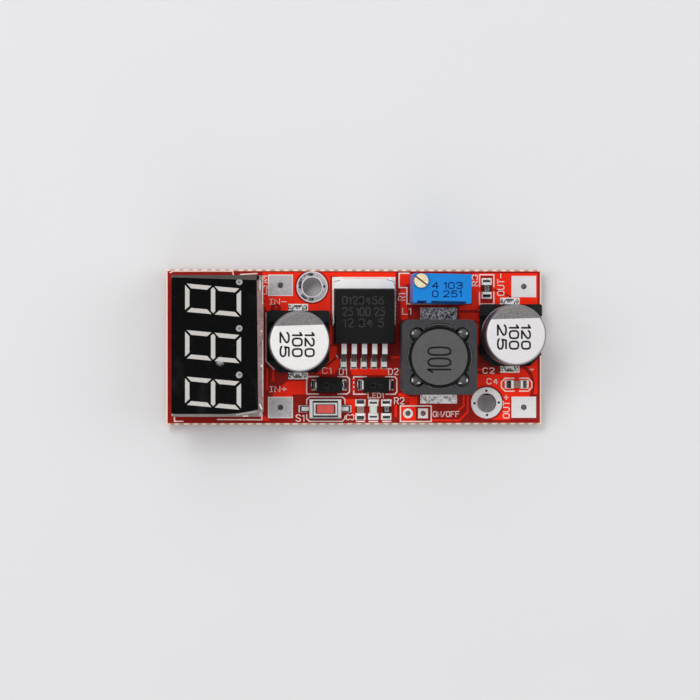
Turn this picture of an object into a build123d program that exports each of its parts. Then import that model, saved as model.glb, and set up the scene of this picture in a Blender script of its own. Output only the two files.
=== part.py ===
from build123d import *
import math
import os

# Step-down converter board with a three-digit voltage display. Millimetres.
# X runs along the board, Y across it, Z up. The origin is centred under the board, at the
# level of the clipped pin ends that the module stands on.

# Board
board_thickness = 1.6
pin_stick_out = 1.2
board_edge_bevel = 0.28
plating = 0.05

# Spacing along the board, from the left edge to the right edge
display_edge_gap = 1.05
display_cap_gap = 0.775
cap_regulator_gap = 0.675
regulator_inductor_gap = 0.8
inductor_cap_gap = 1.025
cap_edge_gap = 0.175

# Display
display_shell_w = 15.1
display_shell_l = 23.3
display_shell_h = 7.2
display_shift_y = 0.14
display_standoff = 2.0
display_draft = 1.0
display_corner_r = 0.4
display_wall = 0.9
face_w = 14.0
face_l = 22.4
face_t = 0.25
face_shift_x = -0.22
face_shift_y = 0.1
bar_recess = 0.03
digit_count = 3
digit_pitch = 7.62
digit_shift_x = -0.42
digit_shift_y = -0.18
digit_half_w = 2.4
digit_half_h = 4.66
digit_slant = 5.3
bar_w = 0.88
bar_corner_gap = 0.4
bar_middle_gap = 0.3
point_r = 0.53
point_across = 3.39
point_down = 4.28
potting_depth = 1.6
potting_recess = 0.3
display_row_spacing = 10.16
display_pins_per_row = 6
pin_pitch = 2.54
display_pin_w = 0.5
display_pin_t = 0.3
pin_hole_r = 0.42

# Meter circuit under the display
meter_body_w = 3.9
meter_body_l = 9.9
meter_body_h = 1.4
meter_foot_gap = 0.1
meter_leads_per_side = 8
meter_lead_pitch = 1.27
meter_lead_w = 0.42
meter_lead_t = 0.2
meter_lead_reach = 1.05
meter_bend_r = 0.12
supply_w = 1.3
supply_l = 2.9
supply_h = 1.1
supply_lead_w = 0.4
supply_lead_pitch = 0.95
supply_lead_reach = 0.55
supply_meter_gap = 1.6
meter_chip_x_shift = 5.2
meter_chip_inset = 1.75
meter_chip_pitch = 1.9

# Wire pads
wire_pad_w = 4.17
wire_pad_l = 3.57
wire_hole_r = 0.475
input_pad_gap = 0.9
output_pad_inset = 3.0
input_minus_inset = 2.65
output_minus_inset = 2.83
plus_pad_inset = 2.9

# Screw holes
screw_hole_r = 1.6
screw_ring_r = 2.62
screw_one_cap_shift = 2.34
screw_one_inset = 2.92
screw_two_end_inset = 9.25
screw_two_inset = 3.64

# Header holes
header_hole_r = 0.45
header_ring_r = 0.83
header_inset = 1.89
header_resistor_gap = 3.64

# Can capacitors
cap_base = 10.35
cap_base_plate = 0.8
cap_base_h = 2.3
cap_base_chamfer = 2.0
cap_base_corner_r = 0.4
cap_base_relief = 6.4
cap_can_r = 5.02
cap_can_h = 9.35
cap_can_clear = 0.05
cap_can_rim_r = 0.55
cap_crimp_z = 2.4
cap_crimp_half = 0.45
cap_crimp_depth = 0.35
cap_pad_w = 3.3
cap_pad_l = 3.8
cap_pad_span = 12.6
cap_terminal_w = 1.3
cap_terminal_t = 0.25
cap_terminal_slot_clear = 0.05
cap_terminal_inner = 1.4
cap_terminal_end_gap = 0.5
cap_ring_gap = 0.23
cap_output_pad_gap = 0.08

# Regulator
tab_w = 10.3
tab_t = 1.27
tab_under = 5.9
tab_out = 1.65
tab_corner_w = 1.62
tab_corner_l = 0.48
tab_inset = 1.57
regulator_body_w = 10.1
regulator_body_l = 9.25
regulator_body_h = 4.5
regulator_foot_gap = 0.12
regulator_parting_h = 2.45
regulator_draft = 6.0
regulator_lead_count = 5
regulator_lead_spacing = 1.7
regulator_lead_w = 0.85
regulator_lead_t = 0.45
regulator_lead_flat = 1.73
regulator_lead_drop = 1.05
regulator_lead_foot = 1.08
regulator_lead_bend_r = 0.45
regulator_pad_w = 10.6
regulator_pad_over = 0.32
regulator_lead_pad_w = 1.05
regulator_lead_pad_l = 1.75

# Inductor
inductor_side = 12.4
inductor_h = 8.0
inductor_corner_r = 1.3
inductor_bore_r = 5.02
inductor_pocket_w = 2.5
inductor_pocket_reach = 6.45
inductor_shift_x = -0.42
inductor_shift_y = -0.24
drum_r = 4.61
drum_flange_t = 1.3
drum_post_r = 2.4
drum_below_top = 0.08
winding_clear = 0.25
winding_turns = 6
clip_t = 0.2
clip_w = 10.6
clip_inner = 3.2
clip_edge_gap = 0.3
clip_tongue_w = 5.7
clip_tongue_end_gap = 0.35
clip_post_r = 0.32
clip_post_h = 6.6
clip_post_gap = 0.28
inductor_pad_w = 6.16
inductor_pad_l = 3.4
inductor_pad_span = 16.1
inductor_trimmer_gap = 0.57

# Trimmer
trimmer_w = 9.53
trimmer_l = 4.83
trimmer_h = 10.0
trimmer_foot_gap = 0.25
trimmer_turn = -1.0
trimmer_inset = 0.965
trimmer_inductor_shift = 0.3
trimmer_edge_r = 0.2
trimmer_panel_depth = 0.36
trimmer_panels = ((-4.15, -2.6), (-1.85, 3.95))
trimmer_panel_foot = 1.4
trimmer_potting_depth = 1.0
trimmer_potting_wall = 0.6
trimmer_pin_count = 3
trimmer_pin_w = 0.46
screw_r = 1.17
screw_clear = 0.05
screw_depth = 2.6
screw_proud = 0.55
screw_side_inset = 1.22
screw_slot_w = 0.27
screw_slot_depth = 0.5
screw_slot_turn = -37.0

# Diodes
diode_l = 4.3
diode_w = 2.6
diode_h = 2.1
diode_parting_h = 1.1
diode_draft = 9.0
diode_foot_gap = 0.22
diode_lead_w = 1.45
diode_lead_t = 0.2
diode_lead_out = 0.42
diode_lead_under = 1.1
diode_lead_bend_r = 0.2
diode_pad_l = 1.75
diode_pad_w = 1.8
diode_pad_span = 5.9
diode_button_gap = 1.05
diode_cap_gap = 0.785
diode_button_shift = 0.71
diode_pitch = 7.82

# Push button
button_case_w = 5.38
button_case_l = 3.3
button_case_h = 1.75
button_cover_t = 0.15
button_lip_t = 0.1
button_lip_w = 2.6
button_lip_drop = 0.9
button_foot_gap = 0.2
button_raise_w = 4.25
button_raise_l = 2.75
button_plateau_w = 3.92
button_plateau_l = 2.09
button_raise_h = 0.32
plunger_w = 3.1
plunger_l = 1.37
plunger_top = 2.55
plunger_clear = 0.1
plunger_flange = 0.2
plunger_flange_t = 0.35
plunger_stem_r = 0.55
plunger_rest_gap = 0.02
dome_r = 1.25
dome_rise = 0.42
dome_t = 0.08
button_well_r = 1.32
button_floor = 0.45
button_terminal_w = 1.0
button_terminal_t = 0.2
button_terminal_reach = 1.25
button_terminal_under = 0.7
button_pad_l = 1.6
button_pad_w = 1.15
button_pad_span = 8.85
button_cap_shift = 4.5
button_inset = 2.67

# Chip parts
chip_l = 2.0
chip_w = 1.25
resistor_h = 0.55
ceramic_h = 0.85
chip_end_l = 0.4
chip_end_t = 0.03
chip_pad_l = 1.15
chip_pad_w = 1.7
chip_pad_span = 3.45
filter_pad_l = 1.45
filter_pad_w = 1.42
filter_pad_span = 4.0
lamp_base_h = 0.32
lamp_lens_l = 1.3
lamp_lens_w = 1.15
lamp_lens_h = 0.48
lamp_lens_draft = 8.0
bottom_row_inset = 2.51
ceramic_button_gap = 0.645
lamp_pitch = 2.175
filter_end_inset = 4.2
filter_pad_gap = 1.35
feedback_inset = 3.15

# Solder
cone_r = 0.95
cone_tip_r = 0.36
cone_h = 0.85
chip_solder_rise = 0.6
thin_solder_rise = 0.2
tab_solder_rise = 0.9
clip_solder_rise = 0.75

quarter_turn = 90.0

# Levels worked out from the sizes above
board_bottom = pin_stick_out
board_top = board_bottom + board_thickness
seat = board_top + plating

# Columns of parts, from left to right
board_length = (
    display_edge_gap + display_shell_w + display_cap_gap + cap_base + cap_regulator_gap
    + tab_w + regulator_inductor_gap + inductor_side + inductor_cap_gap + cap_base + cap_edge_gap
)

# Rows of parts at the input, from the front edge to the back edge
board_width = (
    button_inset + button_case_l / 2 + diode_button_gap + diode_w + diode_cap_gap + cap_base / 2
    + cap_pad_span / 2 + cap_ring_gap + screw_ring_r + screw_one_inset
)
board_left = -board_length / 2
board_right = board_length / 2
board_back = board_width / 2
board_front = -board_width / 2
display_x = board_left + display_edge_gap + display_shell_w / 2
display_y = display_shift_y
display_right = display_x + display_shell_w / 2
input_cap_x = display_right + display_cap_gap + cap_base / 2
regulator_x = input_cap_x + cap_base / 2 + cap_regulator_gap + tab_w / 2
inductor_x = regulator_x + tab_w / 2 + regulator_inductor_gap + inductor_side / 2
output_cap_x = inductor_x + inductor_side / 2 + inductor_cap_gap + cap_base / 2

# Wire pads and screw holes
input_pad_x = display_right + input_pad_gap + wire_pad_w / 2
output_pad_x = board_right - output_pad_inset
output_minus_y = board_back - output_minus_inset
output_plus_y = board_front + plus_pad_inset
wire_holes = (
    (input_pad_x, board_back - input_minus_inset),
    (input_pad_x, board_front + plus_pad_inset),
    (output_pad_x, output_minus_y),
    (output_pad_x, output_plus_y),
)
screw_one_y = board_back - screw_one_inset
screw_two_x = board_right - screw_two_end_inset
screw_holes = (
    (input_cap_x + screw_one_cap_shift, screw_one_y),
    (screw_two_x, board_front + screw_two_inset),
)

# Rows of parts
output_cap_y = output_minus_y - wire_pad_l / 2 - cap_output_pad_gap - cap_pad_span / 2
tab_back_y = board_back - tab_inset
regulator_back_y = tab_back_y - tab_out
regulator_front_y = regulator_back_y - regulator_body_l
trimmer_x = inductor_x + trimmer_inductor_shift
inductor_pad_x = inductor_x - inductor_shift_x
trimmer_y = board_back - trimmer_inset - trimmer_l / 2
inductor_pad_y = trimmer_y - trimmer_l / 2 - inductor_trimmer_gap - inductor_pad_span / 2
inductor_y = inductor_pad_y + inductor_shift_y
button_x = input_cap_x + button_cap_shift
button_y = board_front + button_inset
diode_y = button_y + button_case_l / 2 + diode_button_gap + diode_w / 2
input_cap_y = diode_y + diode_w / 2 + diode_cap_gap + cap_base / 2
diode_one_x = button_x + diode_button_shift
diode_two_x = diode_one_x + diode_pitch
bottom_row_y = board_front + bottom_row_inset
ceramic_x = button_x + button_pad_span / 2 + ceramic_button_gap + chip_pad_w / 2
lamp_x = ceramic_x + lamp_pitch
lamp_resistor_x = lamp_x + lamp_pitch
header_y = board_front + header_inset
header_holes = tuple(
    (lamp_resistor_x + header_resistor_gap + step * pin_pitch, header_y) for step in range(2)
)
filter_x = board_right - filter_end_inset
filter_y = output_plus_y + wire_pad_l / 2 + filter_pad_gap + filter_pad_w / 2
feedback_x = screw_two_x
feedback_y = board_back - feedback_inset

# Pins that pass through the board
display_pins = tuple(
    (
        display_x + (column - 0.5) * display_row_spacing,
        display_y + (row - (display_pins_per_row - 1) / 2) * pin_pitch,
    )
    for column in range(2)
    for row in range(display_pins_per_row)
)
trimmer_pins = tuple(
    (trimmer_x + (step - (trimmer_pin_count - 1) / 2) * pin_pitch, trimmer_y)
    for step in range(trimmer_pin_count)
)


def save(piece, name):
    """Label a finished piece and write it under the same name."""
    piece.part.label = name
    export_step(piece.part, f"parts/{name}.step")


def spot(x, y, z=0.0, turn=0.0):
    """A level plane at a place, turned about the vertical."""
    angle = math.radians(turn)
    return Plane(origin=(x, y, z), x_dir=(math.cos(angle), math.sin(angle), 0), z_dir=(0, 0, 1))


def upright(x, y, z=0.0, turn=0.0):
    """A standing plane: its first direction lies level along turn, its second points up."""
    angle = math.radians(turn)
    along = Vector(math.cos(angle), math.sin(angle), 0)
    return Plane(origin=(x, y, z), x_dir=along, z_dir=along.cross(Vector(0, 0, 1)))


def make_board():
    """Laminate with every drilled hole and a bevelled saw edge."""
    holes = (
        (wire_holes, wire_hole_r),
        (screw_holes, screw_hole_r),
        (header_holes, header_hole_r),
        (display_pins, pin_hole_r),
        (trimmer_pins, pin_hole_r),
    )
    with BuildPart() as board:
        with BuildSketch(Plane.XY.offset(board_bottom)):
            Rectangle(board_length, board_width)
        extrude(amount=board_thickness)
        rims = board.faces().filter_by(Axis.Z).edges()
        chamfer(rims, length=board_edge_bevel)
        for places, radius in holes:
            with Locations(*[(x, y, board_top) for x, y in places]):
                Hole(radius=radius)
    save(board, "board")


def plated_hole(place, hole_r, outline):
    """Land round a hole, on both sides of the board."""
    for level in (board_top, board_bottom - plating):
        with BuildSketch(spot(*place, level)) as land:
            outline()
            Circle(hole_r, mode=Mode.SUBTRACT)
        extrude(land.sketch, amount=plating)


def make_plated_holes():
    """Wire pads, screw-hole rings and header lands."""
    with BuildPart() as wire_pads:
        for place in wire_holes:
            plated_hole(place, wire_hole_r, lambda: Rectangle(wire_pad_w, wire_pad_l))
    save(wire_pads, "wire_pads")

    with BuildPart() as screw_rings:
        for place in screw_holes:
            plated_hole(place, screw_hole_r, lambda: Circle(screw_ring_r))
    save(screw_rings, "screw_rings")

    with BuildPart() as header_lands:
        plated_hole(header_holes[0], header_hole_r, lambda: Circle(header_ring_r))
        side = 2 * header_ring_r
        plated_hole(header_holes[1], header_hole_r, lambda: Rectangle(side, side))
    save(header_lands, "header_lands")


def pad_pair(x, y, span, length, width, along_y):
    """Centre, width and length of the two tinned pads of a two-ended part."""
    reach = (span - length) / 2
    if along_y:
        return [(x, y + reach, width, length), (x, y - reach, width, length)]
    return [(x - reach, y, length, width), (x + reach, y, length, width)]


def lead_places():
    """Places across the regulator of its leads."""
    middle = (regulator_lead_count - 1) / 2
    return [regulator_x + (step - middle) * regulator_lead_spacing for step in range(regulator_lead_count)]


def surface_pads():
    """Every tinned pad on the top of the board."""
    pads = []
    for x, y in ((input_cap_x, input_cap_y), (output_cap_x, output_cap_y)):
        pads += pad_pair(x, y, cap_pad_span, cap_pad_l, cap_pad_w, True)
    pads += pad_pair(
        inductor_pad_x, inductor_pad_y, inductor_pad_span, inductor_pad_l, inductor_pad_w, True
    )
    for x in (diode_one_x, diode_two_x):
        pads += pad_pair(x, diode_y, diode_pad_span, diode_pad_l, diode_pad_w, False)
    pads += pad_pair(button_x, button_y, button_pad_span, button_pad_l, button_pad_w, False)
    for x, y in (
        (ceramic_x, bottom_row_y),
        (lamp_x, bottom_row_y),
        (lamp_resistor_x, bottom_row_y),
        (feedback_x, feedback_y),
    ):
        pads += pad_pair(x, y, chip_pad_span, chip_pad_l, chip_pad_w, True)
    pads += pad_pair(filter_x, filter_y, filter_pad_span, filter_pad_l, filter_pad_w, False)
    tab_pad_l = tab_under + tab_out + 2 * regulator_pad_over
    pads.append((regulator_x, tab_back_y + regulator_pad_over - tab_pad_l / 2, regulator_pad_w, tab_pad_l))
    for x in lead_places():
        pads.append((x, lead_toe_y() + regulator_lead_foot / 2, regulator_lead_pad_w, regulator_lead_pad_l))
    return pads


def lead_toe_y():
    """Where the regulator's feet end."""
    return regulator_front_y - regulator_lead_flat - regulator_lead_drop - regulator_lead_foot


def make_surface_pads():
    """Tinned pads that the surface parts stand on."""
    with BuildPart() as pads:
        with BuildSketch(Plane.XY.offset(board_top)):
            for x, y, width, length in surface_pads():
                with Locations((x, y)):
                    Rectangle(width, length)
        extrude(amount=plating)
    save(pads, "surface_pads")


def digit_bars():
    """Corners of the seven bars of a digit, across and up from its centre."""
    side, top, width = digit_half_w, digit_half_h, bar_w
    corner, middle = bar_corner_gap, bar_middle_gap
    bars = []
    for sign in (1, -1):
        bars.append(
            (
                (-side + corner, sign * top),
                (side - corner, sign * top),
                (side - corner - width, sign * (top - width)),
                (-side + corner + width, sign * (top - width)),
            )
        )
        for edge in (1, -1):
            bars.append(
                (
                    (edge * side, sign * (top - corner)),
                    (edge * side, sign * middle),
                    (edge * (side - width), sign * (middle + width)),
                    (edge * (side - width), sign * (top - corner - width)),
                )
            )
    tip, half = side - corner, width / 2
    inner = tip - half
    bars.append(((-tip, 0), (-inner, half), (inner, half), (tip, 0), (inner, -half), (-inner, -half)))
    return bars


def digit_face(mode=Mode.ADD):
    """Bars and point of every digit, drawn in the active sketch."""
    lean = math.tan(math.radians(digit_slant))
    for digit in range(digit_count):
        offset = (digit - (digit_count - 1) / 2) * digit_pitch
        with Locations((digit_shift_x, digit_shift_y + offset)):
            for corners in digit_bars():
                points = [(-up, across + up * lean) for across, up in corners]
                Polygon(*points, align=None, mode=mode)
            with Locations((point_down, point_across - point_down * lean)):
                Circle(point_r, mode=mode)


def make_display():
    """Shell with its black face and light bars, potting and pins."""
    bottom = board_top + display_standoff
    face_z = bottom + display_shell_h - face_t
    face_plane = spot(display_x + face_shift_x, display_y + face_shift_y, face_z)
    well = (display_shell_w - 2 * display_wall, display_shell_l - 2 * display_wall)

    with BuildPart() as shell:
        with BuildSketch(spot(display_x, display_y, bottom)):
            RectangleRounded(display_shell_w, display_shell_l, display_corner_r)
        extrude(amount=display_shell_h - face_t, taper=display_draft)
        with BuildSketch(spot(display_x, display_y, bottom)):
            Rectangle(*well)
        extrude(amount=potting_depth, mode=Mode.SUBTRACT)
    save(shell, "display_shell")

    with BuildPart() as face:
        with BuildSketch(face_plane):
            Rectangle(face_w, face_l)
            digit_face(Mode.SUBTRACT)
        extrude(amount=face_t)
    save(face, "display_face")

    with BuildPart() as bars:
        with BuildSketch(face_plane):
            digit_face()
        extrude(amount=face_t - bar_recess)
    save(bars, "display_bars")

    with BuildPart() as potting:
        with BuildSketch(Plane.XY.offset(bottom + potting_recess)):
            with Locations((display_x, display_y)):
                Rectangle(*well)
            with Locations(*display_pins):
                Rectangle(display_pin_w, display_pin_t, mode=Mode.SUBTRACT)
        extrude(amount=potting_depth - potting_recess)
    save(potting, "display_potting")

    with BuildPart() as pins:
        with BuildSketch(Plane.XY):
            with Locations(*display_pins):
                Rectangle(display_pin_w, display_pin_t)
        extrude(amount=bottom + potting_depth)
    save(pins, "display_pins")


def bent_lead(plane, points, bend_r, thickness, width):
    """A flat lead whose middle line follows bent points, inside the active part."""
    with BuildLine(plane) as path:
        FilletPolyline(*points, radius=bend_r)
    start = Plane(origin=path.line @ 0, x_dir=plane.z_dir, z_dir=path.line % 0)
    with BuildSketch(start) as section:
        Rectangle(width, thickness)
    sweep(section.sketch, path=path.line)


def make_meter():
    """Meter chip, its supply regulator and two chip parts, under the display."""
    with BuildPart(spot(display_x, display_y, board_top + meter_foot_gap)) as body:
        Box(meter_body_w, meter_body_l, meter_body_h, align=(Align.CENTER, Align.CENTER, Align.MIN))
        chamfer(body.faces().sort_by(Axis.Z)[-1].edges(), length=meter_foot_gap)
    save(body, "meter_chip_body")

    knee_share, ankle_share = 0.35, 0.5
    foot_z = meter_lead_t / 2
    half_rows = (meter_leads_per_side - 1) / 2
    exit_z = meter_foot_gap + meter_body_h / 2
    reach = meter_lead_reach
    shape = ((0, exit_z), (reach * knee_share, exit_z), (reach * ankle_share, foot_z), (reach, foot_z))
    with BuildPart() as leads:
        for side, turn in ((1, 0), (-1, 2 * quarter_turn)):
            for row in range(meter_leads_per_side):
                along = (row - half_rows) * meter_lead_pitch
                across = side * meter_body_w / 2
                plane = upright(display_x + across, display_y + along, board_top, turn)
                bent_lead(plane, shape, meter_bend_r, meter_lead_t, meter_lead_w)
    save(leads, "meter_chip_leads")

    supply_y = display_y - meter_body_l / 2 - supply_meter_gap - supply_w / 2
    supply_exit = meter_foot_gap + supply_h / 2
    with BuildPart(spot(display_x, supply_y, board_top + meter_foot_gap)) as supply:
        Box(supply_l, supply_w, supply_h, align=(Align.CENTER, Align.CENTER, Align.MIN))
        chamfer(supply.faces().sort_by(Axis.Z)[-1].edges(), length=meter_foot_gap)
    save(supply, "meter_supply_body")

    reach = supply_lead_reach
    knee = reach * knee_share
    shape = ((0, supply_exit), (knee, supply_exit), (reach * ankle_share, foot_z), (reach, foot_z))
    places = [(-supply_lead_pitch, -1), (supply_lead_pitch, -1), (0, 1)]
    with BuildPart() as supply_leads:
        for across, side in places:
            exit_y = supply_y + side * supply_w / 2
            plane = upright(display_x + across, exit_y, board_top, side * quarter_turn)
            bent_lead(plane, shape, meter_bend_r, meter_lead_t, supply_lead_w)
    save(supply_leads, "meter_supply_leads")

    chip_x = display_x + meter_chip_x_shift
    for step, name in enumerate(("meter_resistor", "meter_capacitor")):
        chip_y = board_back - meter_chip_inset - step * meter_chip_pitch
        make_chip(name, chip_x, chip_y, board_top, 0, resistor_h)


def make_chip(name, x, y, z, turn, height):
    """Ceramic chip between two plated end caps."""
    inside = (chip_l - 2 * chip_end_t, chip_w - 2 * chip_end_t, height - 2 * chip_end_t)
    low = (Align.CENTER, Align.CENTER, Align.MIN)
    with BuildPart(spot(x, y, z + chip_end_t, turn)) as body:
        Box(*inside, align=low)
    save(body, f"{name}_body")

    with BuildPart(spot(x, y, z, turn)) as ends:
        reach = (chip_l - chip_end_l) / 2
        with Locations((-reach, 0), (reach, 0)):
            Box(chip_end_l, chip_w, height, align=low)
        with Locations((0, 0, chip_end_t)):
            Box(*inside, align=low, mode=Mode.SUBTRACT)
    save(ends, f"{name}_ends")


def make_capacitor(name, x, y):
    """Can capacitor: plastic base with corner walls, rolled can and two flat terminals."""
    half = cap_base / 2
    can_z = seat + cap_base_plate
    can_top = can_z + cap_can_h

    with BuildPart() as base:
        with BuildSketch(spot(x, y, seat)) as outline:
            Rectangle(cap_base, cap_base)
            front = outline.vertices().group_by(Axis.Y)[0]
            chamfer(front, length=cap_base_chamfer)
            back = outline.vertices().group_by(Axis.Y)[-1]
            fillet(back, radius=cap_base_corner_r)
        extrude(amount=cap_base_h)
        with BuildSketch(spot(x, y, can_z)):
            Circle(cap_can_r + cap_can_clear)
            Rectangle(cap_base, cap_base_relief)
            Rectangle(cap_base_relief, cap_base)
        extrude(amount=cap_base_h, mode=Mode.SUBTRACT)
        with BuildSketch(spot(x, y, seat)):
            Rectangle(cap_terminal_w + 2 * cap_terminal_slot_clear, cap_base)
        extrude(amount=cap_terminal_t, mode=Mode.SUBTRACT)
    save(base, f"{name}_base")

    with BuildPart() as can:
        with BuildSketch(upright(x, y)):
            with BuildLine():
                crimp_low = (cap_can_r, seat + cap_crimp_z)
                crimp_deep = (cap_can_r - cap_crimp_depth, seat + cap_crimp_z + cap_crimp_half)
                crimp_high = (cap_can_r, seat + cap_crimp_z + 2 * cap_crimp_half)
                Polyline((0, can_top), (0, can_z), (cap_can_r, can_z), crimp_low)
                ThreePointArc(crimp_low, crimp_deep, crimp_high)
                Line(crimp_high, (cap_can_r, can_top - cap_can_rim_r))
                RadiusArc(
                    (cap_can_r, can_top - cap_can_rim_r),
                    (cap_can_r - cap_can_rim_r, can_top),
                    -cap_can_rim_r,
                )
                Line((cap_can_r - cap_can_rim_r, can_top), (0, can_top))
            make_face()
        revolve(axis=Axis((x, y, 0), (0, 0, 1)))
    save(can, f"{name}_can")

    length = half + (cap_pad_span / 2 - half) - cap_terminal_end_gap - cap_terminal_inner
    with BuildPart() as terminals:
        for side in (1, -1):
            with BuildSketch(spot(x, y + side * (cap_terminal_inner + length / 2), seat)):
                Rectangle(cap_terminal_w, length)
            extrude(amount=cap_terminal_t)
    save(terminals, f"{name}_terminals")


def make_regulator():
    """Five-lead regulator: heat tab, moulded body and bent leads."""
    middle_y = (regulator_back_y + regulator_front_y) / 2
    low_h = regulator_parting_h - regulator_foot_gap

    with BuildPart() as tab:
        tab_l = tab_under + tab_out
        with BuildSketch(spot(regulator_x, tab_back_y - tab_l / 2, seat)):
            Rectangle(tab_w, tab_l)
        extrude(amount=tab_t)
        corners = tab.edges().filter_by(Axis.Z).group_by(Axis.Y)[-1]
        back = tab.faces().sort_by(Axis.Y)[-1]
        chamfer(corners, length=tab_corner_l, length2=tab_corner_w, reference=back)
    save(tab, "regulator_tab")

    with BuildPart() as body:
        with BuildSketch(spot(regulator_x, middle_y, seat + regulator_foot_gap)):
            Rectangle(regulator_body_w, regulator_body_l)
        extrude(amount=low_h)
        with BuildSketch(spot(regulator_x, middle_y, seat + regulator_parting_h)):
            Rectangle(regulator_body_w, regulator_body_l)
        extrude(amount=regulator_body_h - regulator_parting_h, taper=regulator_draft)
        with BuildSketch(spot(regulator_x, regulator_back_y - tab_under / 2, seat)):
            Rectangle(tab_w, tab_under)
        extrude(amount=tab_t, mode=Mode.SUBTRACT)
    save(body, "regulator_body")

    knee = regulator_lead_flat
    ankle = knee + regulator_lead_drop
    shape = (
        (0, regulator_parting_h),
        (knee, regulator_parting_h),
        (ankle, regulator_lead_t / 2),
        (ankle + regulator_lead_foot, regulator_lead_t / 2),
    )
    with BuildPart() as leads:
        for x in lead_places():
            plane = upright(x, regulator_front_y, seat, -quarter_turn)
            bent_lead(plane, shape, regulator_lead_bend_r, regulator_lead_t, regulator_lead_w)
    save(leads, "regulator_leads")


def make_inductor():
    """Shielded inductor: square shield, drum core, winding and two terminal clips."""
    centre = (inductor_x, inductor_y)
    foot = seat + clip_t
    top = seat + inductor_h
    drum_top = top - drum_below_top
    pocket_l = 2 * inductor_pocket_reach

    with BuildPart() as shield:
        with BuildSketch(spot(*centre, foot)):
            RectangleRounded(inductor_side, inductor_side, inductor_corner_r)
            Circle(inductor_bore_r, mode=Mode.SUBTRACT)
            SlotOverall(pocket_l, inductor_pocket_w, rotation=quarter_turn / 2, mode=Mode.SUBTRACT)
            SlotOverall(pocket_l, inductor_pocket_w, rotation=-quarter_turn / 2, mode=Mode.SUBTRACT)
        extrude(amount=inductor_h - clip_t)
    save(shield, "inductor_shield")

    with BuildPart() as drum:
        with BuildSketch(upright(*centre)):
            with BuildLine():
                Polyline(
                    (0, foot), (drum_r, foot), (drum_r, foot + drum_flange_t),
                    (drum_post_r, foot + drum_flange_t), (drum_post_r, drum_top - drum_flange_t),
                    (drum_r, drum_top - drum_flange_t), (drum_r, drum_top), (0, drum_top),
                    close=True,
                )
            make_face()
        revolve(axis=Axis((*centre, 0), (0, 0, 1)))
    save(drum, "inductor_drum")

    low = foot + drum_flange_t
    turn_h = (drum_top - drum_flange_t - low) / winding_turns
    with BuildPart() as winding:
        with BuildSketch(upright(*centre)):
            with BuildLine():
                outer = drum_r - winding_clear - turn_h / 2
                high = low + winding_turns * turn_h
                Polyline((outer, low), (drum_post_r, low), (drum_post_r, high), (outer, high))
                for step in range(winding_turns):
                    start = low + step * turn_h
                    crest = (outer + turn_h / 3, start + turn_h / 2)
                    Polyline((outer, start), crest, (outer, start + turn_h))
            make_face()
        revolve(axis=Axis((*centre, 0), (0, 0, 1)))
    save(winding, "inductor_winding")

    post_out = (inductor_pocket_reach - clip_post_gap - clip_post_r) / math.sqrt(2)
    plate_l = inductor_side / 2 - clip_edge_gap - clip_inner
    tongue_l = inductor_pad_span / 2 - clip_tongue_end_gap - clip_inner
    with BuildPart() as clips:
        for side in (1, -1):
            with BuildSketch(spot(inductor_x, inductor_y, seat)):
                with Locations((0, side * (clip_inner + plate_l / 2))):
                    Rectangle(clip_w, plate_l)
                tongue_y = side * (clip_inner + tongue_l / 2) - inductor_shift_y
                with Locations((-inductor_shift_x, tongue_y)):
                    Rectangle(clip_tongue_w, tongue_l)
            extrude(amount=clip_t)
            with BuildSketch(spot(inductor_x, inductor_y, foot)):
                with Locations((-post_out, side * post_out), (post_out, side * post_out)):
                    Circle(clip_post_r)
            extrude(amount=clip_post_h)
    save(clips, "inductor_clips")


def trimmer_screw_place():
    """Centre of the adjusting screw, in the corner of the trimmer."""
    across = -(trimmer_w / 2 - screw_side_inset)
    back = trimmer_l / 2 - screw_side_inset
    place = spot(trimmer_x, trimmer_y, 0, trimmer_turn).from_local_coords((across, back, 0))
    return place.X, place.Y


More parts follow.
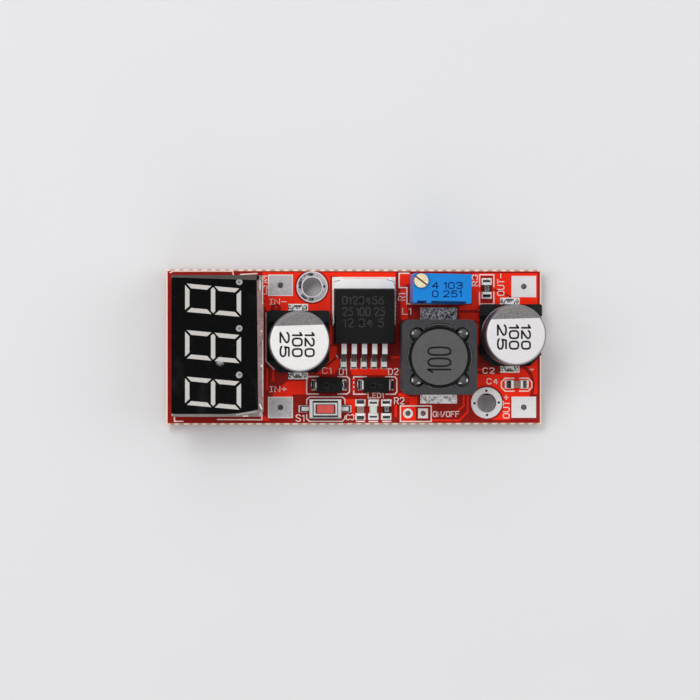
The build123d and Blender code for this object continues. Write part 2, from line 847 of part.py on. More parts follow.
def make_trimmer():
    """Multi-turn trimmer: housing with side panels, turning screw, potting and pins."""
    foot = seat + trimmer_foot_gap
    top = foot + trimmer_h
    screw_place = trimmer_screw_place()
    well = (trimmer_w - 2 * trimmer_potting_wall, trimmer_l - 2 * trimmer_potting_wall)

    with BuildPart() as housing:
        with BuildSketch(spot(trimmer_x, trimmer_y, foot, trimmer_turn)):
            RectangleRounded(trimmer_w, trimmer_l, trimmer_edge_r)
        extrude(amount=trimmer_h)
        with BuildSketch(spot(trimmer_x, trimmer_y, foot + trimmer_panel_foot, trimmer_turn)):
            for left, right in trimmer_panels:
                with Locations(((left + right) / 2, -(trimmer_l - trimmer_panel_depth) / 2)):
                    Rectangle(right - left, trimmer_panel_depth)
        extrude(amount=trimmer_h, mode=Mode.SUBTRACT)
        with BuildSketch(spot(trimmer_x, trimmer_y, foot, trimmer_turn)):
            Rectangle(*well)
        extrude(amount=trimmer_potting_depth, mode=Mode.SUBTRACT)
        with Locations((*screw_place, top)):
            Hole(radius=screw_r + screw_clear, depth=screw_depth + screw_clear)
    save(housing, "trimmer_housing")

    with BuildPart() as screw:
        with BuildSketch(spot(*screw_place, top - screw_depth)):
            Circle(screw_r)
        extrude(amount=screw_depth + screw_proud)
        chamfer(screw.edges().sort_by(Axis.Z)[-1], length=screw_clear)
        with BuildSketch(spot(*screw_place, top + screw_proud, screw_slot_turn)):
            Rectangle(2 * screw_r, screw_slot_w)
        extrude(amount=-screw_slot_depth, mode=Mode.SUBTRACT)
    save(screw, "trimmer_screw")

    with BuildPart() as potting:
        with BuildSketch(spot(trimmer_x, trimmer_y, foot, trimmer_turn)):
            Rectangle(*well)
        extrude(amount=trimmer_potting_depth)
        with BuildSketch(Plane.XY.offset(foot)):
            with Locations(*trimmer_pins):
                Rectangle(trimmer_pin_w, trimmer_pin_w)
        extrude(amount=trimmer_potting_depth, mode=Mode.SUBTRACT)
    save(potting, "trimmer_potting")

    with BuildPart() as pins:
        with BuildSketch(Plane.XY):
            with Locations(*trimmer_pins):
                Rectangle(trimmer_pin_w, trimmer_pin_w)
        extrude(amount=foot + trimmer_potting_depth)
    save(pins, "trimmer_pins")


def make_diode(name, x, y):
    """Moulded diode with a folded lead at each end."""
    low_h = diode_parting_h - diode_foot_gap
    with BuildPart() as body:
        with BuildSketch(spot(x, y, seat + diode_parting_h)):
            Rectangle(diode_l, diode_w)
        extrude(amount=diode_h - diode_parting_h, taper=diode_draft)
        with BuildSketch(spot(x, y, seat + diode_parting_h)):
            Rectangle(diode_l, diode_w)
        extrude(amount=-low_h, taper=diode_draft / 2)
    save(body, f"{name}_body")

    half_t = diode_lead_t / 2
    shape = (
        (0, diode_parting_h),
        (diode_lead_out - half_t, diode_parting_h),
        (diode_lead_out - half_t, half_t),
        (-diode_lead_under, half_t),
    )
    with BuildPart() as leads:
        for side, turn in ((1, 0), (-1, 2 * quarter_turn)):
            plane = upright(x + side * diode_l / 2, y, seat, turn)
            bent_lead(plane, shape, diode_lead_bend_r, diode_lead_t, diode_lead_w)
    save(leads, f"{name}_leads")


def make_button():
    """Push button: base, pressed cover, plunger, dome spring and two terminals."""
    place = (button_x, button_y)
    foot = seat + button_foot_gap
    deck = seat + button_case_h
    lid = deck + button_cover_t
    plateau = lid + button_raise_h
    ceiling = plateau - button_cover_t
    floor = seat + button_floor
    window = (plunger_w + 2 * plunger_clear, plunger_l + 2 * plunger_clear)
    flange = (plunger_w + 2 * plunger_flange, plunger_l + 2 * plunger_flange)
    well = (flange[0] + 2 * plunger_clear, flange[1] + 2 * plunger_clear)
    base_l = button_case_l - 2 * button_lip_t
    thick = 2 * button_cover_t

    with BuildPart() as base:
        with BuildSketch(spot(*place, foot)):
            Rectangle(button_case_w, base_l)
        extrude(amount=deck - foot)
        with BuildSketch(spot(*place, floor)):
            Rectangle(*well)
            Circle(button_well_r)
        extrude(amount=deck - floor, mode=Mode.SUBTRACT)
    save(base, "button_base")

    with BuildPart() as cover:
        with BuildSketch(spot(*place, deck)):
            Rectangle(button_case_w, button_case_l)
        extrude(amount=button_cover_t)
        with BuildSketch(spot(*place, deck)):
            for side in (1, -1):
                with Locations((0, side * (button_case_l - button_lip_t) / 2)):
                    Rectangle(button_lip_w, button_lip_t)
        extrude(amount=-button_lip_drop)
        with BuildSketch(spot(*place, lid)):
            Rectangle(button_raise_w, button_raise_l)
        with BuildSketch(spot(*place, plateau)):
            Rectangle(button_plateau_w, button_plateau_l)
        loft()
        with BuildSketch(spot(*place, deck)):
            Rectangle(button_raise_w - thick, button_raise_l - thick)
        with BuildSketch(spot(*place, ceiling)):
            Rectangle(*well)
        loft(mode=Mode.SUBTRACT)
        with BuildSketch(spot(*place, ceiling)):
            Rectangle(*window)
        extrude(amount=button_cover_t, mode=Mode.SUBTRACT)
    save(cover, "button_cover")

    flange_top = ceiling - plunger_rest_gap
    stem_low = floor + dome_rise + plunger_rest_gap
    with BuildPart() as plunger:
        with BuildSketch(spot(*place, flange_top)):
            RectangleRounded(plunger_w, plunger_l, plunger_clear)
        extrude(amount=seat + plunger_top - flange_top)
        with BuildSketch(spot(*place, flange_top)):
            Rectangle(*flange)
        extrude(amount=-plunger_flange_t)
        with BuildSketch(spot(*place, stem_low)):
            Circle(plunger_stem_r)
        extrude(amount=flange_top - plunger_flange_t - stem_low)
    save(plunger, "button_plunger")

    with BuildPart() as dome:
        with BuildSketch(upright(*place)):
            with BuildLine():
                ThreePointArc(
                    (-dome_r, floor), (0, floor + dome_rise), (dome_r, floor)
                )
                ThreePointArc(
                    (-dome_r + dome_t, floor), (0, floor + dome_rise - dome_t), (dome_r - dome_t, floor)
                )
                Line((-dome_r, floor), (-dome_r + dome_t, floor))
                Line((dome_r - dome_t, floor), (dome_r, floor))
            make_face()
            with Locations((-dome_r, floor)):
                Rectangle(dome_r, 2 * dome_rise, align=(Align.MIN, Align.CENTER), mode=Mode.SUBTRACT)
        revolve(axis=Axis((*place, 0), (0, 0, 1)))
    save(dome, "button_dome")

    with BuildPart() as terminals:
        length = button_terminal_reach + button_terminal_under
        for side in (1, -1):
            middle = button_case_w / 2 + button_terminal_reach - length / 2
            with BuildSketch(spot(button_x + side * middle, button_y, seat)):
                Rectangle(length, button_terminal_w)
            extrude(amount=button_terminal_t)
    save(terminals, "button_terminals")


def make_lamp():
    """Small status lamp: base strip, clear lens and plated ends."""
    low = (Align.CENTER, Align.CENTER, Align.MIN)
    strip_l = chip_l - 2 * chip_end_l
    with BuildPart(spot(lamp_x, bottom_row_y, seat, quarter_turn)) as base:
        Box(strip_l, chip_w, lamp_base_h, align=low)
    save(base, "lamp_base")

    with BuildPart() as lens:
        with BuildSketch(spot(lamp_x, bottom_row_y, seat + lamp_base_h, quarter_turn)):
            Rectangle(lamp_lens_l, lamp_lens_w)
        extrude(amount=lamp_lens_h, taper=lamp_lens_draft)
    save(lens, "lamp_lens")

    with BuildPart(spot(lamp_x, bottom_row_y, seat, quarter_turn)) as ends:
        reach = (chip_l - chip_end_l) / 2
        with Locations((-reach, 0), (reach, 0)):
            Box(chip_end_l, chip_w, lamp_base_h, align=low)
    save(ends, "lamp_ends")


def solder_wedge(x, y, z, turn, width, reach, rise):
    """Hollow fillet of solder that leans on a face at a place and runs out along turn."""
    belly = 0.15
    with BuildSketch(upright(x, y, z, turn)) as profile:
        with BuildLine():
            Polyline((0, rise), (0, 0), (reach, 0))
            Bezier((reach, 0), (reach * belly, rise * belly), (0, rise))
        make_face()
    extrude(profile.sketch, amount=width / 2, both=True)


def end_wedges(x, y, half_l, span, width, rise, along_y):
    """Solder at both ends of a two-ended part."""
    reach = span / 2 - half_l
    for side in (1, -1):
        if along_y:
            across, along, turn = 0, side * half_l, quarter_turn * side
        else:
            across, along, turn = side * half_l, 0, quarter_turn * (1 - side)
        solder_wedge(x + across, y + along, seat, turn, width, reach, rise)


def make_surface_solder():
    """Solder fillets on the top of the board."""
    with BuildPart() as solder:
        for x, y, height in (
            (ceramic_x, bottom_row_y, ceramic_h),
            (lamp_x, bottom_row_y, lamp_base_h),
            (lamp_resistor_x, bottom_row_y, resistor_h),
            (feedback_x, feedback_y, resistor_h),
        ):
            end_wedges(x, y, chip_l / 2, chip_pad_span, chip_w, height * chip_solder_rise, True)
        end_wedges(
            filter_x, filter_y, chip_l / 2, filter_pad_span, chip_w, ceramic_h * chip_solder_rise, False
        )
        for x in (diode_one_x, diode_two_x):
            half_l = diode_l / 2 + diode_lead_out
            end_wedges(x, diode_y, half_l, diode_pad_span, diode_lead_w, diode_parting_h / 2, False)
        half_l = button_case_w / 2 + button_terminal_reach
        end_wedges(
            button_x, button_y, half_l, button_pad_span, button_terminal_w, thin_solder_rise, False
        )
        for x, y in ((input_cap_x, input_cap_y), (output_cap_x, output_cap_y)):
            half_l = cap_pad_span / 2 - cap_terminal_end_gap
            end_wedges(x, y, half_l, cap_pad_span, cap_terminal_w, thin_solder_rise, True)
        solder_wedge(
            regulator_x, tab_back_y, seat, quarter_turn,
            tab_w - 2 * tab_corner_w, regulator_pad_over, tab_solder_rise,
        )
        for x in lead_places():
            width, reach = regulator_lead_w, regulator_pad_over
            solder_wedge(x, lead_toe_y(), seat, -quarter_turn, width, reach, thin_solder_rise)
        foot_z = seat + clip_t
        for side in (1, -1):
            turn = quarter_turn * side
            start = inductor_y + side * inductor_side / 2
            end = inductor_pad_y + side * (inductor_pad_span / 2 - clip_tongue_end_gap)
            reach = abs(end - start)
            solder_wedge(inductor_pad_x, start, foot_z, turn, clip_tongue_w, reach, clip_solder_rise)
    save(solder, "surface_solder")


def make_cone_solder():
    """Solder cones round the pins, under the board."""
    pin_groups = (
        (display_pins, display_pin_w, display_pin_t),
        (trimmer_pins, trimmer_pin_w, trimmer_pin_w),
    )
    with BuildPart() as cones:
        for places, width, depth in pin_groups:
            with Locations(*[(x, y, board_bottom) for x, y in places]):
                Cone(cone_tip_r, cone_r, cone_h, align=(Align.CENTER, Align.CENTER, Align.MAX))
            with Locations(*[(x, y, board_bottom) for x, y in places]):
                Box(width, depth, 2 * cone_h, mode=Mode.SUBTRACT)
    save(cones, "pin_solder")


os.makedirs("parts", exist_ok=True)
make_board()
make_plated_holes()
make_surface_pads()
make_display()
make_meter()
make_capacitor("input_capacitor", input_cap_x, input_cap_y)
make_capacitor("output_capacitor", output_cap_x, output_cap_y)
make_regulator()
make_inductor()
make_trimmer()
make_diode("input_diode", diode_one_x, diode_y)
make_diode("output_diode", diode_two_x, diode_y)
make_button()
make_lamp()
make_chip("ceramic_capacitor", ceramic_x, bottom_row_y, seat, quarter_turn, ceramic_h)
make_chip("lamp_resistor", lamp_resistor_x, bottom_row_y, seat, quarter_turn, resistor_h)
make_chip("feedback_resistor", feedback_x, feedback_y, seat, quarter_turn, resistor_h)
make_chip("filter_capacitor", filter_x, filter_y, seat, 0, ceramic_h)
make_surface_solder()
make_cone_solder()
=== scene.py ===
"""Looks of the step-down converter module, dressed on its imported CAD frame."""

from __future__ import annotations

import logging
import math
from collections.abc import Iterable, Mapping, Sequence
from dataclasses import dataclass
from enum import Enum
from functools import reduce

import bmesh
import bpy
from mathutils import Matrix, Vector, noise
from mathutils.bvhtree import BVHTree


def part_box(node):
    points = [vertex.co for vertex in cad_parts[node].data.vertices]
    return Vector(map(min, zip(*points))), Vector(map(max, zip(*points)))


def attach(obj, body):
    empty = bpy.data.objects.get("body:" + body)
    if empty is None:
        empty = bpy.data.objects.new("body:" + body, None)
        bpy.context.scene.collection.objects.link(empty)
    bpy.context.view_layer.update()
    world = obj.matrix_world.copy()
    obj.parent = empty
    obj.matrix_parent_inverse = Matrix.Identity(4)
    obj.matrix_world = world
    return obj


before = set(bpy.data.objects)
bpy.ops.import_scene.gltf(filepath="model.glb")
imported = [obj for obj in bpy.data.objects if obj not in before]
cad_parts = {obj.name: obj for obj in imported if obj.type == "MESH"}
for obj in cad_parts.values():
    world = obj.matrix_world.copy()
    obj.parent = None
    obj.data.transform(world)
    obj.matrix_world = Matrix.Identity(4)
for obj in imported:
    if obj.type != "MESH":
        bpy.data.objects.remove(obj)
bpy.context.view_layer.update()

MM = 0.001
ROOT_BODY = "root"

BOARD_TOP_MM = 2.8
PAD_LEVEL = 2.85 * MM
PITCH = 2.54 * MM
HAIR = 0.004 * MM

# Bands that draw noise out over the whole range from 0 to 1
SOFT = (0.3, 0.7)
CRISP = (0.25, 0.75)
# Steady and wandering parts of a finish's roughness
ROUGH_FLOOR = 0.8
ROUGH_SWING = 0.4
COAT_ROUGHNESS = 0.12

Point = tuple[float, float]
Outline = tuple[Point, ...]
Colour = tuple[float, float, float]
Size = tuple[float, float, float]
Spot = tuple[float, float, float, float]

log = logging.getLogger("converter")


class Reading(Enum):
    """Ways that a printed word can read on a level face."""

    LEVEL = "left to right"
    CLIMBING = "front to back"
    FALLING = "back to front"


class Facing(Enum):
    """Sides of the board that flat work can lie on."""

    UP = 1
    DOWN = -1


def tone(red: int, green: int, blue: int) -> Colour:
    """Turn a screen colour into the linear colour that shaders take.

    Args:
        red: Red, from 0 to 255.
        green: Green, from 0 to 255.
        blue: Blue, from 0 to 255.

    Returns:
        The linear colour, each channel from 0 to 1.
    """

    def linear(value: int) -> float:
        """Undo the sRGB curve for one channel."""
        share = value / 255
        return share / 12.92 if share <= 0.04045 else ((share + 0.055) / 1.055) ** 2.4

    return linear(red), linear(green), linear(blue)


def shaded(colour: Colour, factor: float) -> Colour:
    """Return a colour made lighter or darker by a factor."""
    return tuple(min(1.0, channel * factor) for channel in colour)


@dataclass(frozen=True)
class Ruler:
    """Turns places read off the picture of the board into metres on the part."""

    pixels_per_mm: float = 5.97
    middle_column: float = 354.25
    middle_row: float = 347.1
    vanishing_column: float = 237.4
    vanishing_row: float = 350.0
    camera_height_mm: float = 450.0

    def place(self, column: float, row: float, height_mm: float = 0.0) -> Point:
        """Find where a picture place lies on a level face.

        Args:
            column: Pixels from the picture's left edge.
            row: Pixels from the picture's top edge.
            height_mm: Height of the face above the board's top.

        Returns:
            The place across and along the board, in metres.
        """
        grown = 1 + height_mm / self.camera_height_mm
        flat_column = self.vanishing_column + (column - self.vanishing_column) / grown
        flat_row = self.vanishing_row + (row - self.vanishing_row) / grown
        across = (flat_column - self.middle_column) / self.pixels_per_mm
        along = (self.middle_row - flat_row) / self.pixels_per_mm
        return across * MM, along * MM

    def places(self, points: Iterable[Point], height_mm: float = 0.0) -> list[Point]:
        """Find where several picture places lie on a level face."""
        return [self.place(column, row, height_mm) for column, row in points]

    def length(self, pixels: float) -> float:
        """Turn a length in pixels into metres."""
        return pixels / self.pixels_per_mm * MM


RULER = Ruler()


class Sock:
    """A shader socket on which Python's operators add Math nodes."""

    def __init__(self, paint: Paint, socket: bpy.types.NodeSocket) -> None:
        """Wrap one output socket of a material in the making."""
        self.paint = paint
        self.socket = socket

    def _meet(self, operation: str, other: Sock | float, swapped: bool = False) -> Sock:
        """Add the node for one operation with another value.

        Args:
            operation: Name of the node's operation.
            other: The other value.
            swapped: Whether the other value comes first.

        Returns:
            The result's socket.
        """
        both = (other, self) if swapped else (self, other)
        kind = "ShaderNodeVectorMath" if self.socket.type == "VECTOR" else "ShaderNodeMath"
        return self.paint.node(kind, {"operation": operation}, {0: both[0], 1: both[1]})

    def __add__(self, other: Sock | float) -> Sock:
        """Add."""
        return self._meet("ADD", other)

    def __radd__(self, other: float) -> Sock:
        """Add, with the number first."""
        return self._meet("ADD", other, True)

    def __sub__(self, other: Sock | float) -> Sock:
        """Subtract."""
        return self._meet("SUBTRACT", other)

    def __rsub__(self, other: float) -> Sock:
        """Subtract from a number."""
        return self._meet("SUBTRACT", other, True)

    def __mul__(self, other: Sock | float) -> Sock:
        """Multiply."""
        return self._meet("MULTIPLY", other)

    def __rmul__(self, other: float) -> Sock:
        """Multiply, with the number first."""
        return self._meet("MULTIPLY", other, True)

    def __truediv__(self, other: Sock | float) -> Sock:
        """Divide."""
        return self._meet("DIVIDE", other)

    def __rtruediv__(self, other: float) -> Sock:
        """Divide a number by this value."""
        return self._meet("DIVIDE", other, True)

    def __pow__(self, other: Sock | float) -> Sock:
        """Raise to a power."""
        return self._meet("POWER", other)

    def __abs__(self) -> Sock:
        """Drop the sign."""
        return self.paint.node("ShaderNodeMath", {"operation": "ABSOLUTE"}, {0: self})

    def least(self, other: Sock | float) -> Sock:
        """Return the smaller of two values."""
        return self._meet("MINIMUM", other)

    def most(self, other: Sock | float) -> Sock:
        """Return the larger of two values."""
        return self._meet("MAXIMUM", other)

    def sine(self) -> Sock:
        """Return the sine of the value."""
        return self.paint.node("ShaderNodeMath", {"operation": "SINE"}, {0: self})

    def rise(self, low: float, high: float) -> Sock:
        """Rise smoothly from 0 at the low value to 1 at the high value."""
        settings = {"interpolation_type": "SMOOTHSTEP"}
        return self.paint.node("ShaderNodeMapRange", settings, {0: self, 1: low, 2: high})


class Paint:
    """One node material in the making."""

    # Places of the colour mixer's sockets
    FACTOR = 0
    FIRST_COLOUR = 6
    SECOND_COLOUR = 7
    MIXED_COLOUR = 2

    def __init__(self, name: str) -> None:
        """Start a material with its standard shader.

        Args:
            name: The material's name.
        """
        self.material = bpy.data.materials.new(name)
        self.material.use_nodes = True
        self.tree = self.material.node_tree
        self.shader = next(n for n in self.tree.nodes if n.type == "BSDF_PRINCIPLED")

    def node(
        self,
        kind: str,
        settings: Mapping[str, object] | None = None,
        values: Mapping[int | str, object] | None = None,
        output: int | str = 0,
    ) -> Sock:
        """Add one node.

        Args:
            kind: The node's type.
            settings: Choices on the node itself, which are set first.
            values: Numbers, colours or sockets for its inputs, by index or name.
            output: Which of its outputs to return.

        Returns:
            The chosen output.
        """
        made = self.tree.nodes.new(kind)
        for key, value in (settings or {}).items():
            setattr(made, key, value)
        for key, value in (values or {}).items():
            self.feed(made.inputs[key], value)
        return Sock(self, made.outputs[output])

    def feed(self, socket: bpy.types.NodeSocket, value: object) -> None:
        """Link a socket, or set its value where it is given a number or colour.

        Args:
            socket: The input to feed.
            value: A socket of this material, a colour, a vector or a number.
        """
        if isinstance(value, Sock):
            self.tree.links.new(value.socket, socket)
        elif isinstance(value, tuple) and socket.type == "RGBA":
            socket.default_value = (*value, 1.0)
        elif isinstance(value, (int, float)) and socket.type == "VECTOR":
            socket.default_value = (value, value, value)
        else:
            socket.default_value = value

    def place(self) -> Sock:
        """Return the place on the piece, in millimetres."""
        spot = self.node("ShaderNodeTexCoord", output="Object")
        return spot * (1 / MM)

    def upward(self) -> Sock:
        """Return how much the surface faces up or down, from 0 to 1."""
        return abs(self.axis(self.node("ShaderNodeNewGeometry", output="Normal"), "Z"))

    def axis(self, vector: Sock, name: str) -> Sock:
        """Return one coordinate of a vector."""
        return self.node("ShaderNodeSeparateXYZ", None, {0: vector}, name)

    def offsets(self, centre_mm: Point = (0.0, 0.0)) -> tuple[Sock, Sock]:
        """Return how far a place lies across and along from a centre, in millimetres."""
        spot = self.place()
        return self.axis(spot, "X") - centre_mm[0], self.axis(spot, "Y") - centre_mm[1]

    def radius(self, centre_mm: Point) -> Sock:
        """Return how far a place lies from an upright axis, in millimetres."""
        across, along = self.offsets(centre_mm)
        return (across * across + along * along) ** 0.5

    def reach(self, centre_mm: Point, half_mm: Point) -> Sock:
        """Return 0 in the middle of a rectangle, and 1 at its edges."""
        across, along = self.offsets(centre_mm)
        return (abs(across) / half_mm[0]).most(abs(along) / half_mm[1])

    def cloud(self, size_mm: float, detail: float = 2.0, stretch: Size = (1.0, 1.0, 1.0)) -> Sock:
        """Make soft noise.

        Args:
            size_mm: Size of its patches.
            detail: How many finer layers it has.
            stretch: Scale along each axis, for streaks.

        Returns:
            Noise from 0 to 1, mostly near the middle.
        """
        streaked = {0: self.place(), 1: stretch}
        spot = self.node("ShaderNodeVectorMath", {"operation": "MULTIPLY"}, streaked)
        values = {"Vector": spot, "Scale": 1 / size_mm, "Detail": detail}
        return self.node("ShaderNodeTexNoise", None, values)

    def crystals(self, size_mm: float) -> Sock:
        """Make a pattern that differs from one small cell to the next.

        Args:
            size_mm: Size of a cell.

        Returns:
            A value from 0 to 1, even within each cell.
        """
        values = {"Vector": self.place(), "Scale": 1 / size_mm}
        return self.axis(self.node("ShaderNodeTexVoronoi", None, values, "Color"), "X")

    def blend(self, share: Sock | float, first: Colour | Sock, second: Colour | Sock) -> Sock:
        """Mix two colours by a share from 0 to 1."""
        values = {self.FACTOR: share, self.FIRST_COLOUR: first, self.SECOND_COLOUR: second}
        return self.node("ShaderNodeMix", {"data_type": "RGBA"}, values, self.MIXED_COLOUR)

    def shades(self, share: Sock | float, colour: Colour, dark: float, light: float) -> Sock:
        """Mix a darker and a lighter shade of one colour by a share from 0 to 1."""
        return self.blend(share, shaded(colour, dark), shaded(colour, light))

    def relief(self, height: Sock, depth_mm: float) -> Sock:
        """Turn a height from 0 to 1 into a bumped normal."""
        values = {"Height": height, "Distance": depth_mm * MM, "Strength": 1.0}
        return self.node("ShaderNodeBump", None, values)

    def coat(self, values: Mapping[str, object]) -> None:
        """Set or link inputs of the standard shader by name."""
        for key, value in values.items():
            self.feed(self.shader.inputs[key], value)


MATERIALS: dict[str, bpy.types.Material] = {}


@dataclass(frozen=True)
class Finish:
    """A finish with patches and a fine grain, on which the others are built."""

    name: str
    colour: Colour
    rough: float = 0.5
    metal: float = 0.0
    wander: float = 0.1
    patch_mm: float = 2.0
    grain_mm: float = 0.15
    grain_depth_mm: float = 0.004
    specular: float = 0.5
    clear_coat: float = 0.0

    def material(self) -> bpy.types.Material:
        """Make the finish's material the first time that it is asked for.

        Returns:
            The material.
        """
        if self.name not in MATERIALS:
            paint = Paint(self.name)
            self.apply(paint)
            MATERIALS[self.name] = paint.material
        return MATERIALS[self.name]

    def hue(self, paint: Paint) -> Sock:
        """Mix the colour over the surface.

        Args:
            paint: The material in the making.

        Returns:
            The colour's socket.
        """
        patches = paint.cloud(self.patch_mm, 3.0).rise(*SOFT)
        grains = paint.cloud(self.grain_mm, 1.0).rise(*CRISP)
        share = patches * 0.5 + grains * 0.5
        return paint.shades(share, self.colour, 1 - self.wander, 1 + self.wander)

    def height(self, paint: Paint) -> Sock:
        """Return the height of the fine grain."""
        return paint.cloud(self.grain_mm, 3.0)

    def apply(self, paint: Paint) -> None:
        """Lay the finish on a material in the making.

        Args:
            paint: The material in the making.
        """
        worn = paint.cloud(self.patch_mm * 0.5, 2.0)
        values = {
            "Base Color": self.hue(paint),
            "Roughness": self.rough * ROUGH_FLOOR + self.rough * ROUGH_SWING * worn,
            "Metallic": self.metal,
            "Specular IOR Level": self.specular,
            "Coat Weight": self.clear_coat,
            "Coat Roughness": COAT_ROUGHNESS,
            "Normal": paint.relief(self.height(paint), self.grain_depth_mm),
        }
        paint.coat(values)

    def dress(self, *pieces: bpy.types.Object | str) -> None:
        """Put the finish on pieces or nodes.

        Args:
            pieces: Pieces of the scene, or names of the frame's nodes.
        """
        for piece in pieces:
            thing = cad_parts[piece] if isinstance(piece, str) else piece
            thing.data.materials.clear()
            thing.data.materials.append(self.material())


@dataclass(frozen=True)
class MaskedLaminate(Finish):
    """Lacquer on the board's faces, and raw glass laminate at its edges, with a pale bevel and cutter marks:
    partly the cut fibre's colour, partly painted highlight.
    """

    fibre_and_highlight: Colour = tone(240, 220, 206)
    core: Colour = tone(196, 150, 120)
    tooth_mm: float = 1.52
    ragged_mm: float = 0.35
    layer_mm: float = 0.22
    layer_stretch: Size = (0.12, 0.12, 1.6)
    long_edge_mm: Point = (12.65, 12.75)
    face_band: Point = (0.8, 0.92)
    bevel_band: Point = (0.3, 0.5)

    def hue(self, paint: Paint) -> Sock:
        """Mix lacquer, laminate, and the bevel's pale fibre and painted highlight broken by the cutter's
        teeth.

        Args:
            paint: The material in the making.

        Returns:
            The colour's socket.
        """
        across, along = paint.offsets()
        ragged = paint.cloud(self.ragged_mm, 2.0) * 3.0
        beat = (across * (2 * math.pi / self.tooth_mm) + ragged).sine()
        tooth = beat.rise(-0.5, 0.5) * abs(along).rise(*self.long_edge_mm) * 0.8
        # The upward-facing bevel takes the pale colour: partly the cut fibre, partly painted highlight.
        bevel = paint.upward().rise(*self.bevel_band)
        layers = paint.cloud(self.layer_mm, 3.0, self.layer_stretch).rise(*SOFT)
        raw = paint.blend(bevel, paint.shades(layers, self.core, 0.8, 1.25), self.fibre_and_highlight)
        cut = paint.blend(tooth * bevel, raw, shaded(self.core, 0.7))
        return paint.blend(paint.upward().rise(*self.face_band), cut, super().hue(paint))


@dataclass(frozen=True)
class TinnedLand(Finish):
    """Tin on bare copper, with a painted highlight on the rolled rim round each land."""

    # rim: painted highlight where the tin rolls over each land's edge
    rim: Colour = tone(232, 228, 228)
    fresh: Colour = tone(232, 229, 230)
    fresh_side_mm: float = 10.0
    lands_mm: Outline = ()
    half_land_mm: Point = (2.085, 1.785)
    speck_mm: Point = (0.22, 0.3)
    rim_highlight_band: Point = (0.88, 0.95)

    def hue(self, paint: Paint) -> Sock:
        """Mix tin, the fresher tin of one end, and the rims' painted highlights.

        Args:
            paint: The material in the making.

        Returns:
            The colour's socket.
        """
        across, _ = paint.offsets()
        fresh_share = across.rise(self.fresh_side_mm - 1, self.fresh_side_mm + 1)
        crystal_mm, patch_mm = self.speck_mm
        speck = paint.crystals(crystal_mm) * 0.5 + paint.cloud(patch_mm, 3.0).rise(*SOFT) * 0.5
        dull = paint.shades(speck, self.colour, 1 - self.wander, 1 + self.wander)
        clean = paint.shades(speck, self.fresh, 0.95, 1.05)
        base = paint.blend(fresh_share, dull, clean)
        if not self.lands_mm:
            return base
        nearest = reduce(Sock.least, [paint.reach(land, self.half_land_mm) for land in self.lands_mm])
        return paint.blend(nearest.rise(*self.rim_highlight_band), base, self.rim)


@dataclass(frozen=True)
class StainedLand(TinnedLand):
    """Tin on the screw rings, with flux stains on the left half of one of them."""

    centre_mm: Point = (-7.06, 10.08)
    band_mm: Point = (1.8, 2.42)
    stain: Colour = tone(66, 62, 68)
    blot_mm: float = 0.8
    blot_band: Point = (0.46, 0.56)
    left_band_mm: Point = (-0.6, 0.8)

    def hue(self, paint: Paint) -> Sock:
        """Mix tin with the stains.

        Args:
            paint: The material in the making.

        Returns:
            The colour's socket.
        """
        radius = paint.radius(self.centre_mm)
        inner, outer = self.band_mm
        band = radius.rise(inner - 0.1, inner + 0.1) * (1 - radius.rise(outer - 0.1, outer + 0.1))
        blot = paint.cloud(self.blot_mm, 4.0).rise(*self.blot_band)
        left_half = 1 - paint.offsets(self.centre_mm)[0].rise(*self.left_band_mm)
        return paint.blend(band * blot * left_half, super().hue(paint), self.stain)


@dataclass(frozen=True)
class Framed(Finish):
    """A finish that turns dark towards the edges of a rectangle, where a gap or a bend shades it."""

    centre_mm: Point = (0.0, 0.0)
    half_mm: Point = (1.0, 1.0)
    band: Point = (0.8, 0.92)
    edge: Colour = tone(40, 30, 30)

    def hue(self, paint: Paint) -> Sock:
        """Mix the colour with the dark of the edges.

        Args:
            paint: The material in the making.

        Returns:
            The colour's socket.
        """
        edges = paint.reach(self.centre_mm, self.half_mm).rise(*self.band)
        return paint.blend(edges, super().hue(paint), self.edge)


@dataclass(frozen=True)
class Streaked(Finish):
    """A finish drawn out in fine streaks along one direction."""

    stretch: Size = (1.0, 0.08, 1.0)

    def height(self, paint: Paint) -> Sock:
        """Return the height of the streaks."""
        return paint.cloud(self.grain_mm, 2.0, self.stretch)


@dataclass(frozen=True)
class Shiny(Streaked):
    """Bright metal with painted dark reflection on its slopes."""

    slope_shade: float = 0.3
    steep: Point = (0.2, 0.45)
    flat: Point = (0.9, 0.98)

    def hue(self, paint: Paint) -> Sock:
        """Mix the bright metal with the painted dark reflection of its slopes.

        Args:
            paint: The material in the making.

        Returns:
            The colour's socket.
        """
        # The slopes' darkening is painted reflection of dark surroundings.
        lie = paint.upward()
        slope = lie.rise(*self.steep) * (1 - lie.rise(*self.flat))
        return paint.blend(slope, super().hue(paint), shaded(self.colour, self.slope_shade))


@dataclass(frozen=True)
class PressedSheet(Shiny):
    """Pressed sheet metal whose front lip and bent edges roll away from the light."""

    lip_mm: float = -11.74
    lip_shade: float = 0.3
    centre_mm: Point = (-4.9, -10.33)
    half_mm: Point = (2.69, 1.65)
    bend_mm: float = 0.13
    lip_band_mm: Point = (-0.1, 0.06)
    bend_shade: float = 0.85

    def hue(self, paint: Paint) -> Sock:
        """Mix the sheet with the dark of its front lip.

        Args:
            paint: The material in the making.

        Returns:
            The colour's socket.
        """
        front = paint.axis(paint.place(), "Y")
        inward = front.rise(*(self.lip_mm + inset for inset in self.lip_band_mm))
        for offset, half in zip(paint.offsets(self.centre_mm), self.half_mm):
            bend = abs(offset).rise(half - self.bend_mm, half - self.bend_mm * 0.3)
            inward = inward.least(1 - bend * self.bend_shade)
        return paint.blend(inward, shaded(self.colour, self.lip_shade), super().hue(paint))


